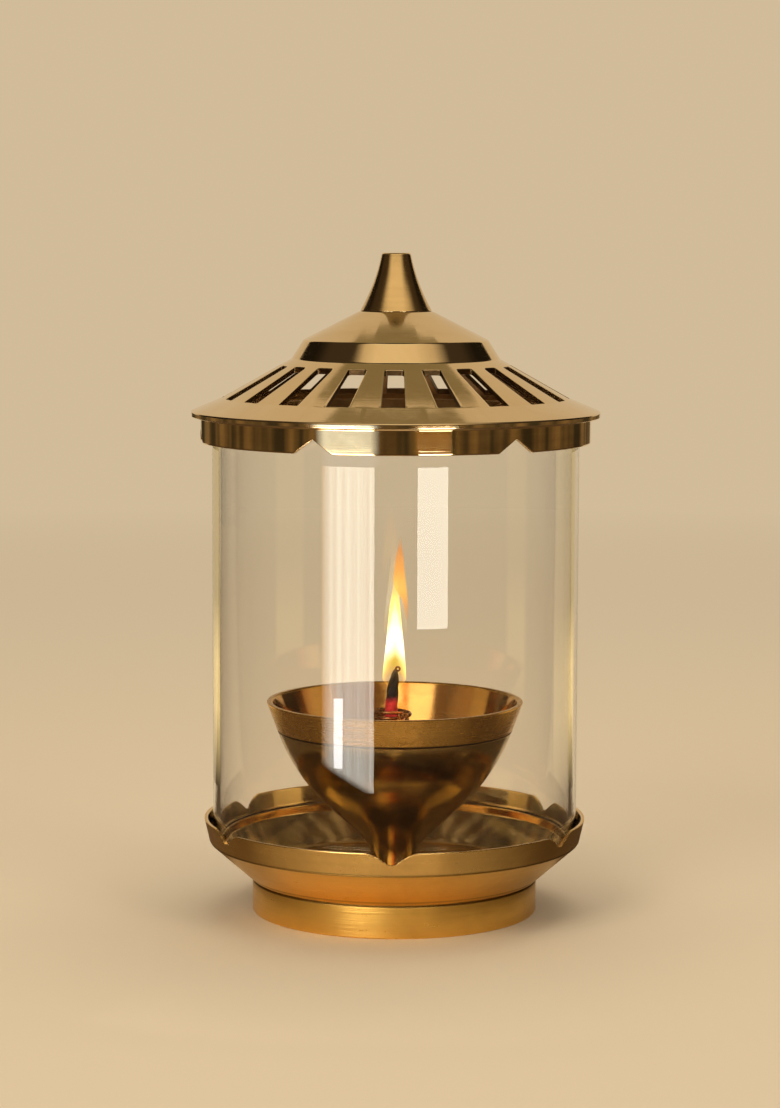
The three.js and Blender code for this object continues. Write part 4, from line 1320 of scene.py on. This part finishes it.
def strip_tone(tree, turn, height):
    """A pale window's light in upright bands. It comes up softly at its left edge, and its foot
    slants down to the right."""
    light = mixed(tree, upright_bands(tree, turn, 22.0, 0.4, 0.6), STRIP_DIM, STRIP_TONE)
    light = mixed(tree, turn_ramp(tree, turn, STRIP_LEFT), STRIP_EDGE, light)
    foot = product_plus(tree, turn, STRIP_SLANT, height)
    return mixed(tree, ramp(tree, foot, *STRIP_FOOT), (0.0, 0.0, 0.0), light)


def skirt_tone(tree, turn, _):
    """Upright brown bands, with the window at the left and a warm one beside the middle."""
    brown = mixed(tree, upright_bands(tree, turn, 5.0, 0.42, 0.6), SKIRT_DARK, SKIRT_BROWN)
    warm = turn_ramp(tree, turn_from(tree, turn, WARM_MIDDLE), WARM_SIDE, *FALLING)
    window = turn_ramp(tree, turn_from(tree, turn, WINDOW_MIDDLE), SKIRT_WINDOW_SIDE, *FALLING)
    return mixed(tree, window, mixed(tree, warm, brown, SKIRT_WARM), SKIRT_WINDOW)


def rim_tone(tree, _, height):
    """A soft gold glow at the height that the rim's inner wall mirrors, dimmer above it, where the
    glass's edges mirror it."""
    dimmed = ramp(tree, height, *RIM_GLOW_TOP, 1.0, RIM_GLOW_ABOVE)
    glow = product(tree, ramp(tree, height, *RIM_GLOW_FOOT), dimmed)
    return mixed(tree, glow, SIDE_TONE, RIM_GOLD)


def bowl_front_tone(tree, turn, _):
    """What the bowl's inside mirrors: brown, the window at the left and the flame's glow by it."""
    light = mixed(tree, turn_ramp(tree, turn, BOWL_WINDOW_LEFT), BOWL_FRONT_BROWN, BOWL_FRONT_WINDOW)
    light = mixed(tree, turn_ramp(tree, turn, BOWL_GLOW_LEFT), light, BOWL_FRONT_GLOW)
    return mixed(tree, turn_ramp(tree, turn, BOWL_GLOW_RIGHT), light, BOWL_FRONT_BROWN)


def seen_rays(tree):
    """1 for the rays that see the backdrop: straight, mirrored or through glass."""
    path = tree.nodes.new("ShaderNodeLightPath").outputs
    seen = larger(tree, path["Is Camera Ray"], path["Is Glossy Ray"])
    return larger(tree, seen, path["Is Transmission Ray"])


def make_floor():
    """A wide pale floor that keeps the lamp's shadow near it and melts into the backdrop."""
    bpy.ops.mesh.primitive_circle_add(vertices=96, radius=FLOOR_RADIUS, fill_type="NGON")
    floor = bpy.context.object
    floor.name = "studio_floor"
    material, tree, shader = new_material(
        "studio_floor", base_color=PALE, roughness=0.9, specular_ior_level=0.1
    )
    glow = add_node(tree, "Emission", color=PALE)
    length = tree.nodes.new("ShaderNodeVectorMath")
    length.operation = "LENGTH"
    tree.links.new(object_place(tree), length.inputs[0])
    far = ramp(tree, length.outputs["Value"], *FLOOR_FADE)
    mix_shaders(tree, product(tree, far, seen_rays(tree)), shader.outputs[0], glow.outputs[0])
    floor.data.materials.append(material)


def make_world():
    """An even pale room."""
    world = bpy.data.worlds.new("studio")
    world.use_nodes = True
    bpy.context.scene.world = world
    tree = world.node_tree
    backdrop = fill(tree, tree.nodes["Background"], color=PALE, strength=1)
    light = add_node(tree, "Background", color=(1, 0.97, 0.93), strength=ROOM_LIGHT)
    mix_shaders(tree, seen_rays(tree), light.outputs[0], backdrop.outputs[0], "World Output")


def soft_light(name, place, size, energy, colour):
    """A square soft light aimed at the lamp."""
    data = bpy.data.lights.new(name, "AREA")
    data.shape = "RECTANGLE"
    data.size = data.size_y = size
    data.energy = energy
    data.color = colour
    light = put_in(name, data)
    aim = Vector(LIGHT_AIM) - Vector(place)
    light.matrix_world = Matrix.Translation(place) @ aim.to_track_quat("-Z", "Y").to_matrix().to_4x4()
    light.visible_camera = False
    light.visible_glossy = False


def dome(low, high, steps=14, reach=DOME_RADIUS):
    """Rings of a dome round the lamp between two angles over the floor, in degrees."""
    rise = np.radians(np.linspace(low, high, steps))
    return np.stack([reach * np.cos(rise), CARD_LIFT + reach * np.sin(rise)], axis=1)


def upright(radius, low, high):
    """Rings of a card that stands upright."""
    return (radius, low), (radius, high)


def lying(inner, outer, height=CARD_LIFT):
    """Rings of a card that lies level."""
    return (inner, height), (outer, height)


def make_studio():
    """Two soft lights from the front sides and one from above, strips that the glass and the
    metal mirror, and a dark room round the lamp that gives the metal its dark edges. The room is
    open behind, and has a pale window in front."""
    make_floor()
    make_world()
    soft_light("key_light", (-0.75, -1.0, 0.95), 0.7, 9, (1, 0.96, 0.9))
    soft_light("fill_light", (0.95, -0.8, 0.7), 0.6, 4, (1, 0.95, 0.88))
    soft_light("top_light", (0.1, 0.35, 1.3), 0.8, 6, (1, 0.97, 0.92))
    around, behind = (-DOME_TURN, DOME_TURN), (DOME_TURN, 360 - DOME_TURN)
    sliver_inner, crescent_inner, crescent_outer = SHADE_RINGS
    sliver = lying(sliver_inner, crescent_inner, SHADE_HEIGHT)
    crescent = lying(crescent_inner, crescent_outer, SHADE_HEIGHT)
    shade = glowing("stage_shade", SHADE_TONE)
    rim_card = stage_tone("stage_rim", rim_tone)
    rim_rings = upright(RIM_CARD_RADIUS, 0.03, 0.17)
    bowl_card = glowing("stage_bowl_side", BOWL_CARD_TONE)
    bowl_rings = upright(BOWL_CARD_RADIUS, 0.14, 0.28)
    cards = (
        # name, from turn to turn, rings, material, columns, met by, set back
        ("dark_room", around, dome(0, DOME_TOP), stage_tone("stage_dark_room", room_tone), 61, BOTH),
        ("ceiling", (-180, 180), dome(DOME_TOP, 89.9, 4),
         glowing("stage_ceiling", CEILING_TONE), 61, BOTH),
        ("floor_far_card", around, lying(NEAR_FLOOR[1], DOME_RADIUS),
         glowing("stage_floor_far", FLOOR_FAR_TONE), 61, BOTH),
        ("left_floor_card", (-DOME_TURN, -30), lying(*NEAR_FLOOR),
         stage_tone("stage_left_floor_near", floor_tone), 25, BOTH),
        ("right_floor_card", (22, DOME_TURN), lying(*NEAR_FLOOR),
         stage_tone("stage_right_floor_near", floor_tone, 0.6), 25, BOTH),
        ("far_room", behind, dome(18, DOME_TOP),
         stage_tone("stage_far_room", far_room_tone), 61, THROUGH_GLASS),
        ("shade_crescent", (-56, 56), crescent, shade, 41, MIRRORED, SHADE_BACK),
        ("shade_sliver", (-30, 30), sliver, shade, 41, MIRRORED, SHADE_BACK),
        ("left_strip", (-40, -10.5), upright(STRIP_RADIUS, 0.01, STRIP_TOP),
         stage_tone("stage_pale_strip", strip_tone, 12.5), 61, MIRRORED),
        ("left_bright_strip", (-32.8, -27.7), upright(STRIP_RADIUS - 2 * MM, 0.0185, 0.043),
         glowing("stage_bright_strip", BRIGHT_STRIP_TONE, 26.0), 7, MIRRORED),
        ("right_strip", (12.7, 29.5), upright(STRIP_RADIUS, 0.0675, STRIP_TOP),
         glowing("stage_warm_strip", WARM_STRIP_TONE, 11.0), 25, MIRRORED),
        ("skirt_card", (-150, 150), upright(STRIP_RADIUS, STRIP_TOP + 0.2 * MM, 0.15),
         stage_tone("stage_skirt", skirt_tone), 61, MIRRORED),
        ("left_rim_card", (-128, -106), rim_rings, rim_card, 13, THROUGH_GLASS),
        ("right_rim_card", (86, 116), rim_rings, rim_card, 13, THROUGH_GLASS),
        ("left_bowl_card", (-110, -60), bowl_rings, bowl_card, 13, THROUGH_GLASS),
        ("right_bowl_card", (60, 110), bowl_rings, bowl_card, 13, THROUGH_GLASS),
        ("bowl_front_card", (-58, 58), dome(14, 64, 14, BOWL_FRONT_RADIUS),
         stage_tone("stage_bowl_front", bowl_front_tone), 41, THROUGH_GLASS),
    )
    for card in cards:
        stage_wall(*card)


make_camera()
make_tray()
make_bowl()
make_oil()
make_glass()
make_lid()
make_finial()
make_holder()
make_wick()
make_flame()
dress_fixings()
make_studio()
bpy.context.scene.view_settings.view_transform = "Standard"
